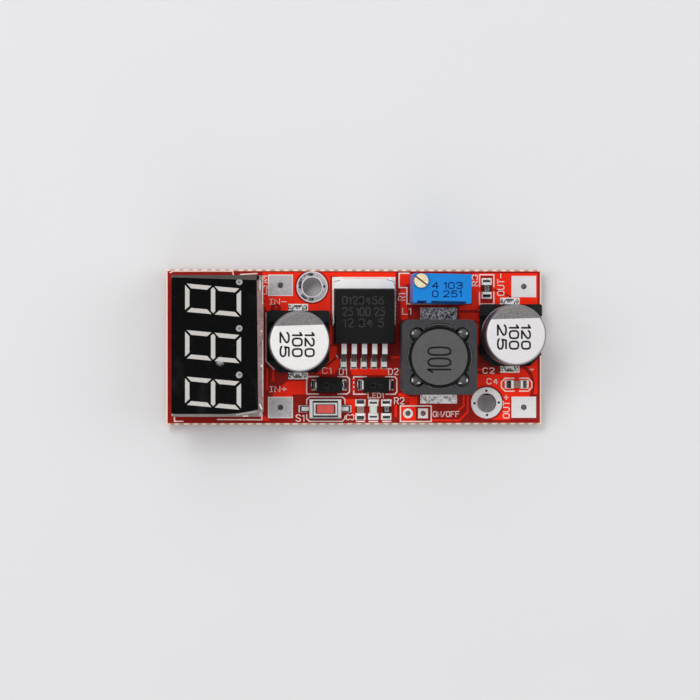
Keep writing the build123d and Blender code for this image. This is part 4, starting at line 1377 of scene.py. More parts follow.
COPPER_ISLANDS: dict[str, Outline] = {
    "under_first_lead": (
        (337.3, 358), (341, 359.5), (338.7, 367.5), (334.5, 374.4), (316.5, 374.4), (318, 371.5),
        (328.2, 366),
    ),
    "behind_first_lead": (
        (331, 346), (337, 346), (336.5, 355.8), (329.5, 362.3), (322, 366.4), (326, 358),
    ),
    "between_diodes": ((349.6, 367.8), (391.2, 367.8), (388.5, 375.4), (352, 375)),
    "input_plus": (
        (286.8, 381.1), (306, 381.1), (306, 394.4), (292.5, 394.4), (292.5, 397), (272.5, 397),
        (272.7, 394.2), (276, 391.4), (282.6, 385.3),
    ),
    "beside_button": (
        (345.8, 399), (355.3, 399), (355.3, 417), (352, 417), (352, 404.5), (345.8, 404.5),
    ),
    "beside_lamp": ((394.6, 405), (397, 405), (397, 417), (394.6, 417)),
    "output_edge": (
        (538.3, 345), (538.3, 394.3), (534, 394.3), (535.2, 388), (535.2, 381), (532.5, 373),
        (528, 367), (524, 363), (530, 356), (535, 345),
    ),
    "behind_inductor": (
        (459.6, 312.6), (480.5, 312.6), (480.5, 345), (477.5, 345), (477.5, 320.5), (459.6, 320.5),
    ),
    "trimmer_corner": ((399.8, 273.6), (411.8, 273.6), (411.8, 282.5), (401, 287.2), (399.8, 287.2)),
    "trimmer_side": (
        (400.6, 289.5), (406.3, 288.5), (407.2, 304.5), (408, 319), (402.5, 320.5), (400.6, 318),
    ),
    "front_left_corner": ((262.2, 413.5), (267, 418), (270, 420.6), (262.2, 420.6)),
}
COPPER_TRACKS: dict[str, Outline] = {
    "header_upper": ((464, 396), (464, 406), (458.8, 410.4)),
    "header_lower": ((468, 396.2), (468, 411.8), (459.5, 420.6), (432.4, 420.4)),
    "input_column": ((267.1, 368.6), (267.1, 388.6)),
    "first_lead_column": ((273.4, 366), (273.2, 379.6)),
    "to_inductor": ((392.2, 357.4), (399.6, 357.2)),
    "to_output": ((477.4, 369.6), (482, 369.6)),
}
COPPER_GAPS: dict[str, Outline] = {
    "output_minus": ((495, 289.6), (501, 292), (511.5, 296.8)),
    "behind_regulator": ((338, 276.9), (331, 276.9), (331, 325)),
}
BOTTOM_GAPS_MM: dict[str, Outline] = {
    "input_side": ((-14.9, 8.2), (-9.6, 8.2), (-9.6, -7.9), (24.6, -7.9)),
    "front_side": ((-14.9, 12.35), (-14.9, -12.2), (24.6, -12.2), (24.6, -7.9)),
    "output_corner": ((17.2, 12.35), (17.2, 6.1), (24.8, 6.1), (24.8, 12.35)),
}
PRINT_LINES: dict[str, tuple[Outline, ...]] = {
    "display": (
        ((170.6, 272.8), (173.3, 271.3), (232.6, 271.3), (233.7, 275.8)),
        ((240.4, 274.6), (256.8, 273.6)),
        ((174.7, 417.6), (174.8, 421.2), (183.3, 421.1)),
        ((217.7, 419.4), (261.8, 419.7), (261.8, 412.8)),
    ),
    "input_diode": (
        ((318.6, 376.6), (306.7, 376.6), (306.7, 394), (318.6, 394)),
        ((337.8, 376.6), (347.2, 376.6), (349.5, 378.9), (349.5, 391.7), (347.2, 394), (337.8, 394)),
    ),
    "output_diode": (
        ((366.2, 376.8), (353.7, 376.8), (353.7, 378.6)),
        ((353.7, 382), (353.7, 383.4)),
        ((353.7, 386.4), (353.7, 387.8)),
        ((353.7, 391), (353.7, 394.2), (366.2, 394.2)),
        ((385.8, 376.8), (394.8, 376.8), (396.9, 379), (396.9, 392), (394.8, 394.2), (385.8, 394.2)),
    ),
    "button": (
        ((306.7, 404), (306.7, 399.6), (309.4, 397), (342.3, 397), (345, 399.6), (345, 404)),
        ((306.7, 414.6), (306.7, 418.6), (309.4, 421.3), (342.3, 421.3), (345, 418.6), (345, 416)),
    ),
    "front_chips": (
        ((356.4, 421.4), (364.4, 421.4)),
        ((369.2, 421.6), (377.6, 421.6)),
        ((382.8, 421.5), (390.8, 421.5)),
        ((355.9, 400.2), (365.1, 400.2)),
        ((369.2, 400.3), (378.6, 400.3)),
        ((382.1, 400.2), (391.4, 400.2)),
    ),
    "header": (
        ((400.5, 406), (431.4, 406), (431.4, 421.6), (400.5, 421.6), (400.5, 406)),
    ),
    "trimmer": (
        ((409.2, 273.2), (399.2, 273.2), (399.2, 287.5), (407, 287.5), (407, 303.8), (466.4, 303.6)),
    ),
    "feedback_resistor": (
        ((479.9, 286.5), (479.9, 274.6), (494.3, 274.6), (494.3, 286.5)),
        ((479.9, 292), (479.9, 304), (494.3, 304), (494.3, 292)),
    ),
    "filter_capacitor": (
        ((514.6, 378.3), (505.6, 378.3), (501.9, 382), (501.9, 387.5), (505.6, 391.2), (514.6, 391.2)),
        ((520, 378.3), (528.9, 378.3), (532.6, 382), (532.6, 387.5), (528.9, 391.2), (520, 391.2)),
    ),
    "output_capacitor": (
        ((479.3, 310.3), (482.4, 306.7), (494, 306.7)),
    ),
    "input_capacitor": (
        ((266, 313), (266, 361), (274, 369.4)),
    ),
    "regulator": (
        ((336.6, 355.6), (337.6, 357.4)),
    ),
}
PRINT_WORDS: tuple[Label, ...] = (
    Label("IN-", 269.4, 298.6, 286.4, 304.8),
    Label("IN+", 269.4, 386.0, 286.8, 392.2),
    Label("OUT-", 497.6, 273.4, 504.9, 295.7, Reading.CLIMBING),
    Label("OUT+", 503.3, 395.1, 510.2, 418.6, Reading.CLIMBING),
    Label("ON/OFF", 432.9, 411.2, 459.7, 417.2),
    Label("C1", 322.0, 367.2, 331.4, 373.9),
    Label("D1", 338.8, 368.2, 347.0, 375.1),
    Label("D2", 388.2, 368.2, 398.6, 375.0),
    Label("LED1", 367.6, 392.6, 383.8, 398.3),
    Label("S1", 295.6, 414.3, 304.4, 421.7),
    Label("C3", 345.9, 414.2, 354.2, 420.2),
    Label("R2", 394.0, 397.3, 404.6, 404.4),
    Label("R1", 398.0, 293.0, 405.6, 300.6, Reading.CLIMBING),
    Label("L1", 402.2, 307.7, 411.4, 314.7),
    Label("R3", 472.1, 274.6, 478.2, 286.0, Reading.CLIMBING),
    Label("C2", 482.9, 367.6, 495.0, 373.7),
    Label("C4", 486.9, 378.3, 498.4, 384.4),
    Label("+", 530.2, 367.4, 534.6, 371.8),
    Label("R4", 261.4, 275.0, 267.3, 283.0, Reading.CLIMBING),
    Label("C5", 261.4, 285.6, 267.3, 294.6, Reading.CLIMBING),
)
SMALL_VIAS: Outline = (
    (273.2, 379.7), (267.1, 388.7), (275.7, 307.6), (353.7, 380.3), (353.7, 384.9), (353.7, 389.4),
    (407.2, 401), (502.1, 379.3), (502.1, 386.2), (392.2, 357.4), (264.4, 301.5),
)
# Inner and outer radii, in millimetres, of the painted rim highlights on each screw ring
RING_RIM_HIGHLIGHTS_MM: Outline = ((1.62, 1.8), (2.42, 2.6))


@dataclass
class BoardWork:
    """Copper under the lacquer, white print, and the small holes of the board."""

    top: float = BOARD_TOP_MM * MM
    bottom: float = 1.2 * MM
    half_board: Point = (31.5 * MM, 13.0 * MM)
    copper: float = 0.03 * MM
    ink: float = 0.012 * MM
    pen: float = 0.21 * MM
    fine_pen: float = 0.15 * MM
    track_px: float = 1.8
    gap_px: float = 1.3
    bottom_gap: float = 0.35 * MM
    edge_margin: float = 0.9 * MM
    screw_clear: float = 2.92 * MM
    wire_clear: float = 0.6 * MM
    header_clear: float = 0.6 * MM
    pin_clear_below: float = 1.2 * MM
    wire_clear_below: float = 1.3 * MM
    header_clear_below: float = 1.1 * MM
    display_pin_inset: Point = (0.25 * MM, 0.15 * MM)
    trimmer_pin_inset: float = 0.23 * MM
    via_rim: Point = (0.13 * MM, 0.3 * MM)
    screw_via_ring: float = 2.04 * MM
    screw_via: float = 0.21 * MM
    screw_via_turn: float = 0.03
    wire_hole: float = 0.475 * MM
    header_hole: float = 0.45 * MM
    screw_hole: float = 1.6 * MM
    lining: float = 0.006 * MM
    lining_sides: int = 40

    def build(self) -> None:
        """Make every piece of the board's flat work."""
        self.top_copper()
        self.gaps()
        self.bottom_copper()
        self.print_lines()
        self.words()
        self.vias()
        self.ring_rim_highlights()
        self.linings()

    def top_copper(self) -> None:
        """Areas and tracks of copper on the part side."""
        work = FlatWork("top_copper", self.top, self.copper)
        left_screw, right_screw = RULER.places(SCREW_PLACES)
        lands = PALETTE.wire_land.lands_mm
        wire_holes = [circle((x * MM, y * MM), self.wire_clear) for x, y in lands]
        input_minus = [
            *RULER.places(INPUT_MINUS_START),
            *arc(left_screw, self.screw_clear, 124, 416),
            *RULER.places(INPUT_MINUS_REST),
        ]
        work.area(input_minus, (RULER.places(PLUS_NOTCH), wire_holes[0]))
        work.area(RULER.places(OUTPUT_MINUS), (RULER.places(RESISTOR_BED), wire_holes[2]))
        work.area([*RULER.places(OUTPUT_PLUS), *arc(right_screw, self.screw_clear, -72, 124)])
        header_hole = circle(RULER.place(408.2, 413.4), self.header_clear)
        work.area(RULER.places(HEADER_COLUMN), (header_hole,))
        for outline in COPPER_ISLANDS.values():
            work.area(RULER.places(outline))
        for points in COPPER_TRACKS.values():
            work.line(RULER.places(points), RULER.length(self.track_px))
        work.piece(PALETTE.copper, "board_red")

    def gaps(self) -> None:
        """Narrow breaks that part one copper area from the next."""
        work = FlatWork("copper_gaps", self.top + self.copper, HAIR)
        for points in COPPER_GAPS.values():
            work.line(RULER.places(points), RULER.length(self.gap_px))
        work.piece(PALETTE.gap, "board_red")

    def bottom_holes(self) -> list[list[Point]]:
        """Outline the holes that keep the ground copper clear of pins and wires.

        Returns:
            The corners of each hole.
        """
        low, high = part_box("display_pins")
        across, along = self.display_pin_inset
        rows = [low.y + along + step * PITCH for step in range(6)]
        pins = [(column, row) for column in (low.x + across, high.x - across) for row in rows]
        low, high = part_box("trimmer_pins")
        middle = (low.y + high.y) / 2
        pins += [(low.x + self.trimmer_pin_inset + step * PITCH, middle) for step in range(3)]
        wires = [(x * MM, y * MM) for x, y in PALETTE.wire_land.lands_mm]
        return [
            *(circle(place, self.pin_clear_below) for place in pins),
            *(circle(place, self.wire_clear_below) for place in wires),
            *(circle(place, self.header_clear_below) for place in RULER.places(HEADER_PLACES)),
        ]

    def bottom_copper(self) -> None:
        """Ground copper of the solder side, held clear of pins and screws."""
        work = FlatWork("bottom_copper", self.bottom, self.copper, Facing.DOWN)
        x, y = (half - self.edge_margin for half in self.half_board)
        left_screw, right_screw = RULER.places(SCREW_PLACES)
        outline = [
            (-x, -y),
            *reversed(arc(right_screw, self.screw_clear, -69, 249)),
            (x, -y),
            (x, y),
            *reversed(arc(left_screw, self.screw_clear, 136, 404)),
            (-x, y),
        ]
        work.area(outline, self.bottom_holes())
        work.piece(PALETTE.copper, "board_red")
        tracks = FlatWork("bottom_gaps", self.bottom - self.copper, HAIR, Facing.DOWN)
        for points in BOTTOM_GAPS_MM.values():
            tracks.line([(px * MM, py * MM) for px, py in points], self.bottom_gap)
        tracks.piece(PALETTE.gap, "board_red")

    def print_lines(self) -> None:
        """White outlines round the parts."""
        work = FlatWork("print_lines", self.top + self.copper, self.ink)
        for points in (line for lines in PRINT_LINES.values() for line in lines):
            work.line(RULER.places(points), self.pen)
        work.piece(PALETTE.ink, "lamp_white")

    def words(self) -> None:
        """White letters and signs beside the parts."""
        work = FlatWork("print_words", self.top + self.copper, self.ink)
        for label in PRINT_WORDS:
            work.label(label, self.fine_pen)
        work.piece(PALETTE.ink, "lamp_white")

    def vias(self) -> None:
        """Small plated holes: rims under the lacquer, and dark dots painted as the shade in their mouths."""
        rims = FlatWork("via_rims", self.top + self.copper, 0.006 * MM)
        mouths = FlatWork("via_mouths", self.top + self.copper, 0.008 * MM)
        for place in RULER.places(SMALL_VIAS):
            rims.ring(place, *self.via_rim, 20)
            mouths.dot(place, self.via_rim[0], 14)
        rims.piece(PALETTE.copper, "board_red")
        deep = FlatWork("screw_ring_vias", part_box("screw_rings")[1].z, 0.006 * MM)
        for centre in RULER.places(SCREW_PLACES):
            for step in range(4):
                angle = math.pi / 2 * step + self.screw_via_turn
                deep.dot(around(centre, self.screw_via_ring, angle), self.screw_via, 16)
        mouths.piece(PALETTE.hole, "base_black")
        deep.piece(PALETTE.hole, "base_black")

    def ring_rim_highlights(self) -> None:
        """Painted highlights on the rolled rims at both edges of each screw ring."""
        work = FlatWork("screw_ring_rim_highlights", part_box("screw_rings")[1].z, HAIR)
        for centre in RULER.places(SCREW_PLACES):
            for inner, outer in RING_RIM_HIGHLIGHTS_MM:
                work.ring(centre, inner * MM, outer * MM, 48)
        work.piece(PALETTE.highlight_tin, "tinned_copper")

    def linings(self) -> None:
        """Tinned copper inside the wire, header and screw holes."""
        mesh = bmesh.new()
        levels = [corner.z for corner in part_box("wire_pads")]
        holes = [((x * MM, y * MM), self.wire_hole) for x, y in PALETTE.wire_land.lands_mm]
        holes += [(place, self.screw_hole) for place in RULER.places(SCREW_PLACES)]
        holes += [((x * MM, y * MM), self.header_hole) for x, y in HEADER_HOLES_MM]
        for centre, radius in holes:
            loop = circle(centre, radius - self.lining, self.lining_sides)
            low, high = ([mesh.verts.new((x, y, level)) for x, y in loop] for level in levels)
            for step in range(self.lining_sides):
                after = (step + 1) % self.lining_sides
                mesh.faces.new((low[after], low[step], high[step], high[after]))
        settle("hole_linings", mesh, PALETTE.bare_core, smooth=True)


@dataclass
class Lump:
    """One frozen drop of solder or glue."""

    place: Point
    level: float
    size: tuple[float, float, float]
    rough: float = 0.25
    sunk: float = -0.15
    unevenness: float = 1.7

    def add(self, mesh: bmesh.types.BMesh) -> None:
        """Add the drop to a mesh as an uneven dome.

        Args:
            mesh: The mesh in the making.
        """
        seat = Vector((self.place[0] / MM, self.place[1] / MM, 0.0))
        for vert in bmesh.ops.create_icosphere(mesh, subdivisions=3, radius=1.0)["verts"]:
            spot = vert.co.copy()
            spot.z = max(spot.z, self.sunk)
            swell = 1 + self.rough * noise.noise(spot * self.unevenness + seat)
            vert.co = Vector(
                (
                    self.place[0] + spot.x * swell * self.size[0],
                    self.place[1] + spot.y * swell * self.size[1],
                    self.level + spot.z * swell * self.size[2],
                )
            )


def lumps(name: str, drops: Iterable[Lump], finish: Finish) -> bpy.types.Object:
    """Make one piece of several drops.

    Args:
        name: The piece's name.
        drops: The drops.
        finish: Its finish.

    Returns:
        The piece.
    """
    mesh = bmesh.new()
    for drop in drops:
        drop.add(mesh)
    return settle(name, mesh, finish, smooth=True)


def ground(*names: str) -> BVHTree:
    """Gather nodes of the frame into one tree that can be asked for its height.

    Args:
        names: The nodes.

    Returns:
        The tree of their faces.
    """
    corners: list[Vector] = []
    faces: list[list[int]] = []
    for name in names:
        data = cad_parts[name].data
        start = len(corners)
        corners += [corner.co.copy() for corner in data.vertices]
        faces += [[start + index for index in face.vertices] for face in data.polygons]
    return BVHTree.FromPolygons(corners, faces)


def level_below(below: BVHTree, x: float, y: float, ceiling: float) -> float:
    """Find the height of the solids at a place.

    Args:
        below: The solids.
        x: The place across the board.
        y: The place along the board.
        ceiling: Height to look down from.

    Returns:
        The height met first, or the pads' level where none is met.
    """
    hit = below.ray_cast(Vector((x, y, ceiling)), Vector((0.0, 0.0, -1.0)))[0]
    return hit.z if hit is not None else PAD_LEVEL


def flat_tops(name: str) -> list[list[Vector]]:
    """Read the outlines of the highest faces of one of the frame's nodes.

    Args:
        name: The node, whose top faces must be convex.

    Returns:
        The corners of each outline, against the clock.
    """
    close = 0.001 * MM
    mesh = bmesh.new()
    mesh.from_mesh(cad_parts[name].data)
    bmesh.ops.remove_doubles(mesh, verts=mesh.verts, dist=close)
    mesh.verts.index_update()
    mesh.faces.index_update()
    top = max(corner.co.z for corner in mesh.verts) - close
    faces = {face.index: face for face in mesh.faces if min(corner.co.z for corner in face.verts) > top}
    outlines = []
    while faces:
        border = [faces.pop(min(faces))]
        corners: dict[int, Vector] = {}
        while border:
            face = border.pop()
            corners.update({corner.index: corner.co.xy.copy() for corner in face.verts})
            for edge in face.edges:
                border += [faces.pop(near.index) for near in edge.link_faces if near.index in faces]
        places = [corners[index] for index in sorted(corners)]
        middle = sum(places, Vector((0.0, 0.0))) / len(places)
        outlines.append(sorted(places, key=lambda place: math.atan2(*(place - middle).yx)))
    mesh.free()
    return outlines


@dataclass
class CrystalSkin:
    """Tin that froze rough over a pad, draped on the solder below it."""

    low: Point
    high: Point
    step: float = 0.12 * MM
    rise: float = 0.16 * MM
    cell: float = 0.26 * MM
    ceiling: float = 4.3 * MM
    sway: float = 0.3
    crispness: float = 1.7
    seat: float = 0.003 * MM

    def add(self, mesh: bmesh.types.BMesh, below: BVHTree) -> None:
        """Add the skin to a mesh.

        Args:
            mesh: The mesh in the making.
            below: What the skin lies on.
        """
        columns = round((self.high[0] - self.low[0]) / self.step)
        rows = round((self.high[1] - self.low[1]) / self.step)
        grid = []
        for row in range(rows + 1):
            line = []
            for column in range(columns + 1):
                spot = Vector((self.low[0] + column * self.step, self.low[1] + row * self.step, 0.0))
                spot += noise.noise_vector(spot / self.cell) * self.step * self.sway
                level = level_below(below, spot.x, spot.y, self.ceiling)
                inside = min(column, columns - column, row, rows - row) > 0
                lift = self.rise * abs(noise.noise(spot / self.cell * self.crispness)) if inside else 0.0
                line.append(mesh.verts.new((spot.x, spot.y, level + lift + self.seat)))
            grid.append(line)
        for near, far in zip(grid, grid[1:]):
            for column in range(columns):
                mesh.faces.new((near[column], near[column + 1], far[column + 1], far[column]))


CAN_WORDS = ("120", "100", "25")
CAN_COLUMNS: dict[str, Outline] = {
    "input_can_print": ((304.4, 314.8), (291.8, 302.8), (279.4, 289.8)),
    "output_can_print": ((521.4, 531.6), (509.2, 519.8), (497.2, 507.4)),
}
CAN_ROWS: dict[str, Point] = {"input_can_print": (331.8, 357.2), "output_can_print": (324.2, 349.8)}
CAN_BASES_MM: dict[str, float] = {"input_capacitor_base": -9.5, "output_capacitor_base": 26.05}


@dataclass
class Capacitors:
    """Printed numbers and solder of the two can capacitors."""

    top_mm: float = 13.0
    pen: float = 0.31 * MM
    ink: float = 0.01 * MM
    groove: float = 0.006 * MM
    groove_radius: float = 0.92 * MM
    groove_pen: float = 0.17 * MM
    groove_inset_deg: float = 4.0
    tip_mm: float = 0.5
    tip_rise: float = 0.2 * MM
    tip_size: Size = (0.46 * MM, 0.2 * MM, 0.12 * MM)
    tip_rough: float = 0.4
    side_mm: Point = (1.3, 0.55)
    side_size: Size = (0.28 * MM, 0.36 * MM, 0.1 * MM)
    side_rough: float = 0.5

    def build(self) -> None:
        """Print both cans and solder their ends."""
        for name, columns in CAN_COLUMNS.items():
            top, bottom = CAN_ROWS[name]
            labels = tuple(
                Label(text, left, top, right, bottom, Reading.FALLING)
                for text, (left, right) in zip(CAN_WORDS, columns)
            )
            PrintedFace(name, labels, self.top_mm, self.pen, self.ink, PALETTE.dark_ink, "base_black").build()
        self.solder()

    def solder(self) -> None:
        """Solder at the ends of the terminals, and painted shade in the grooves round them."""
        drops = []
        grooves = FlatWork("terminal_groove_shade", PAD_LEVEL, self.groove)
        for base, x in CAN_BASES_MM.items():
            front, back = (corner.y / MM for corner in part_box(base))
            for y, turn, way in ((back, 0, 1), (front, 180, -1)):
                start, end = turn + self.groove_inset_deg, turn + 180 - self.groove_inset_deg
                grooves.line(arc((x * MM, y * MM), self.groove_radius, start, end, 18), self.groove_pen)
                tip = (x * MM, (y + way * self.tip_mm) * MM)
                drops.append(Lump(tip, PAD_LEVEL + self.tip_rise, self.tip_size, self.tip_rough))
                across, along = self.side_mm
                for side in (-across, across):
                    spot = ((x + side) * MM, (y + way * along) * MM)
                    drops.append(Lump(spot, PAD_LEVEL, self.side_size, self.side_rough))
        grooves.piece(PALETTE.groove, "base_black")
        lumps("capacitor_solder", drops, PALETTE.solder)


REGULATOR_WORDS: tuple[Label, ...] = (
    Label("0123456", 342.0, 296.0, 384.0, 304.6),
    Label("25 100 25", 342.0, 307.0, 385.0, 316.2),
    Label("12 34 5", 343.0, 318.2, 384.0, 327.4),
)
TAB_CREASES: tuple[Outline, ...] = (((334.2, 281.8), (339.8, 280.2)), ((386.6, 279.4), (393.6, 281.6)))


@dataclass
class Regulator:
    """Laser marks on the regulator, and bright drops beside its body that are partly solder and partly
    painted highlight.
    """

    body_top_mm: float = 7.35
    pen: float = 0.2 * MM
    solder_columns: Point = (333.5, 394.9)
    solder_rows: range = range(291, 326, 4)
    drop_size: Size = (0.18 * MM, 0.42 * MM, 0.24 * MM)
    drop_rough: float = 0.5
    crease_pen: float = 0.09 * MM

    def build(self) -> None:
        """Mark the body, and make its solder with its painted highlights and the painted shade of its tab's
        creases.
        """
        PrintedFace(
            "regulator_marks", REGULATOR_WORDS, self.body_top_mm, self.pen, HAIR, PALETTE.laser, "chip_black"
        ).build()
        self.slivers()
        self.creases()

    def slivers(self) -> None:
        """Solder along both sides of the body, bright as painted highlights of the tab's side edges."""
        places = RULER.places((column, row) for column in self.solder_columns for row in self.solder_rows)
        drops = [Lump(place, PAD_LEVEL, self.drop_size, self.drop_rough) for place in places]
        lumps("regulator_solder_highlights", drops, PALETTE.highlight_tin)

    def creases(self) -> None:
        """Painted shade of thin creases beside the tab's cut corners."""
        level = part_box("regulator_tab")[1].z
        work = FlatWork("tab_crease_shade", level, HAIR)
        for points in TAB_CREASES:
            work.line(RULER.places(points, level / MM - BOARD_TOP_MM), self.crease_pen)
        work.piece(PALETTE.groove, "base_black")


DIODE_WORDS: dict[str, Label] = {
    "input_diode_mark": Label("34", 323.4, 382.2, 336.4, 388.6),
    "output_diode_mark": Label("34", 370.2, 382.2, 383.2, 388.6),
}
DIODE_DROPS: tuple[Spot, ...] = (
    (311.3, 384.8, 0.2, 0.66), (315.4, 381.2, 0.3, 0.16), (315.2, 388.6, 0.3, 0.16),
    (343.2, 385.0, 0.22, 0.56), (346.4, 381.4, 0.2, 0.2), (346.6, 388.4, 0.2, 0.2),
    (357.6, 384.8, 0.2, 0.7), (361.6, 380.4, 0.42, 0.18), (361.4, 389.6, 0.42, 0.18),
    (364.2, 384.9, 0.18, 0.3), (390.8, 381.0, 0.14, 0.2), (391.0, 389.0, 0.14, 0.2),
)


@dataclass
class Diodes:
    """Faint numbers on the two diodes, and solder that froze on their leads."""

    top_mm: float = 4.95
    pen: float = 0.2 * MM
    ceiling: float = 4.8 * MM
    drop_height: float = 0.11 * MM
    drop_rough: float = 0.45

    def build(self) -> None:
        """Mark both diodes and solder their leads."""
        for name, label in DIODE_WORDS.items():
            PrintedFace(
                name, (label,), self.top_mm, self.pen, HAIR, PALETTE.faint_laser, "chip_black"
            ).build()
        self.solder()

    def solder(self) -> None:
        """Beads at the outer ends of the leads, and bright drops against the bodies."""
        below = ground("input_diode_leads", "output_diode_leads", "surface_pads", "surface_solder")
        drops = []
        for column, row, across, along in DIODE_DROPS:
            x, y = RULER.place(column, row)
            level = level_below(below, x, y, self.ceiling)
            size = (across * MM, along * MM, self.drop_height)
            drops.append(Lump((x, y), level, size, self.drop_rough))
        lumps("diode_solder", drops, PALETTE.solder)


# Bright tinned drops at the corners' glints: partly wire ends, partly painted glints
WIRE_END_GLINTS: tuple[Spot, ...] = (
    (412.6, 333.3, 0.2, 0.36), (415.4, 330.6, 0.16, 0.12), (460.4, 331.9, 0.34, 0.13),
    (466.6, 333.4, 0.22, 0.26), (412.2, 380.4, 0.18, 0.36), (418.4, 383.0, 0.3, 0.14),
    (460.2, 383.2, 0.3, 0.14), (467.0, 380.6, 0.16, 0.34),
)
BORE_GLUE_AND_SHADE_MM: dict[int, float] = {90: 0.6, 180: 0.42, 0: 0.44, 270: 0.34}
PAD_SKINS_MM: dict[str, tuple[Finish, Point]] = {
    "back_pad_solder": (PALETTE.rough_tin, (4.58, 6.6)),
    "front_pad_solder": (PALETTE.pale_tin, (-9.44, -7.9)),
}


@dataclass
class Inductor:
    """Number on the drum, the glue in the shield's corners with bright wire ends as painted glints, and dark
    glue with painted shade round the drum.
    """

    centre: Point = (13.75 * MM, -1.655 * MM)
    drum_top_mm: float = 10.77
    drum_word: Label = Label("100", 427.4, 346.4, 451.6, 373.2, Reading.CLIMBING)
    pen: float = 0.31 * MM
    ink: float = 0.008 * MM
    corner: float = 3.95 * MM
    bore: float = 5.02 * MM
    pad_column: float = 14.17
    pad_half: float = 3.06
    glue_level: float = 9.5 * MM
    gap_level: float = 10.3 * MM
    glue_size: Size = (1.25 * MM, 1.25 * MM, 1.1 * MM)
    glue_rough: float = 0.2
    wire_rise: float = 0.95 * MM
    wire_rough: float = 0.5
    wire_height: float = 0.25 * MM
    film: float = 0.005 * MM
    half_turn_deg: float = 31.0
    creep_mm: float = 0.04
    ridge_creep_mm: float = 0.02
    ridge_share: float = 0.62
    raggedness: float = 0.4
    ridge_steps: tuple[int, int] = (4, 25)
    ridge_pen: float = 0.12 * MM
    steps: int = 28

    def build(self) -> None:
        """Make the number, the glue with its painted shade and glints, and the pads' solder."""
        words = (self.drum_word,)
        PrintedFace(
            "drum_number", words, self.drum_top_mm, self.pen, self.ink, PALETTE.drum_ink, "base_black"
        ).build()
        self.corners()
        self.gap_glue_and_shade()
        self.bore_glue_and_shade()
        self.pad_solder()

    def corners(self) -> None:
        """Glue in the shield's corner hollows, with the wire's tinned ends on it, placed and brightened as
        painted glints.
        """
        x, y = self.centre
        sides = (-self.corner, self.corner)
        places = [(x + across, y + along) for across in sides for along in sides]
        glue = [Lump(place, self.glue_level, self.glue_size, self.glue_rough) for place in places]
        lumps("corner_glue", glue, PALETTE.glue)
        ends = []
        for column, row, across, along in WIRE_END_GLINTS:
            place = RULER.place(column, row, self.glue_level / MM - BOARD_TOP_MM)
            size = (across * MM, along * MM, self.wire_height)
            ends.append(Lump(place, self.glue_level + self.wire_rise, size, self.wire_rough))
        lumps("wire_end_glints", ends, PALETTE.wire_glint_tin)

    def gap_glue_and_shade(self) -> None:
        """Dark glue low in the gap round the drum, dark as painted shade of the gap."""
        low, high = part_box("inductor_drum")
        work = FlatWork("gap_glue_and_shade", self.gap_level, self.film)
        work.ring(self.centre, (high.x - low.x) / 2 + self.film, self.bore - self.film, 64)
        work.piece(PALETTE.bore_glue_and_shade, "ferrite")

    def bore_glue_and_shade(self) -> None:
        """Dark glue that ran over the rim round the drum, partly painted shade round the bore, with a paler
        ridge along it.
        """
        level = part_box("inductor_shield")[1].z
        work = FlatWork("bore_glue_and_shade", level, self.film)
        ridges = FlatWork("glue_ridges", level + self.film, HAIR)
        for middle, reach in BORE_GLUE_AND_SHADE_MM.items():
            first, last = middle - self.half_turn_deg, middle + self.half_turn_deg
            outer, ridge = [], []
            for step in range(self.steps + 1):
                share = step / self.steps
                angle = math.radians(first + (last - first) * share)
                way = Vector((math.cos(angle), math.sin(angle), 0.0))
                swell = reach * math.sin(math.pi * share) ** 0.5
                swell *= 1 + self.raggedness * noise.noise(way * 4)
                crest = self.ridge_creep_mm + swell * self.ridge_share
                outer.append(around(self.centre, self.bore + (self.creep_mm + swell) * MM, angle))
                ridge.append(around(self.centre, self.bore + crest * MM, angle))
            work.area([*outer, *arc(self.centre, self.bore + 0.01 * MM, last, first, self.steps)])
            ridges.line(ridge[slice(*self.ridge_steps)], self.ridge_pen)
        work.piece(PALETTE.bore_glue_and_shade, "ferrite")
        ridges.piece(PALETTE.glue_ridge, "ferrite")

    def pad_solder(self) -> None:
        """Rough solder on the two wide pads."""
        below = ground("surface_pads", "surface_solder", "inductor_clips")
        left, right = ((self.pad_column + side * self.pad_half) * MM for side in (-1, 1))
        for name, (finish, (low, high)) in PAD_SKINS_MM.items():
            mesh = bmesh.new()
            CrystalSkin((left, low * MM), (right, high * MM)).add(mesh, below)
            settle(name, mesh, finish)


TRIMMER_WORDS: tuple[Label, ...] = (
    Label("4 103", 432.0, 281.8, 463.0, 289.0),
    Label("0 251", 432.0, 290.2, 462.0, 297.4),
)


@dataclass
class Trimmer:
    """Marks on the trimmer's blue top."""

    top_mm: float = 13.1
    pen: float = 0.2 * MM
    ink: float = 0.006 * MM

    def build(self) -> None:
        """Write the two rows of numbers."""
        PrintedFace(
            "trimmer_marks", TRIMMER_WORDS, self.top_mm, self.pen, self.ink, PALETTE.blue_ink, "trimmer_blue"
        ).build()


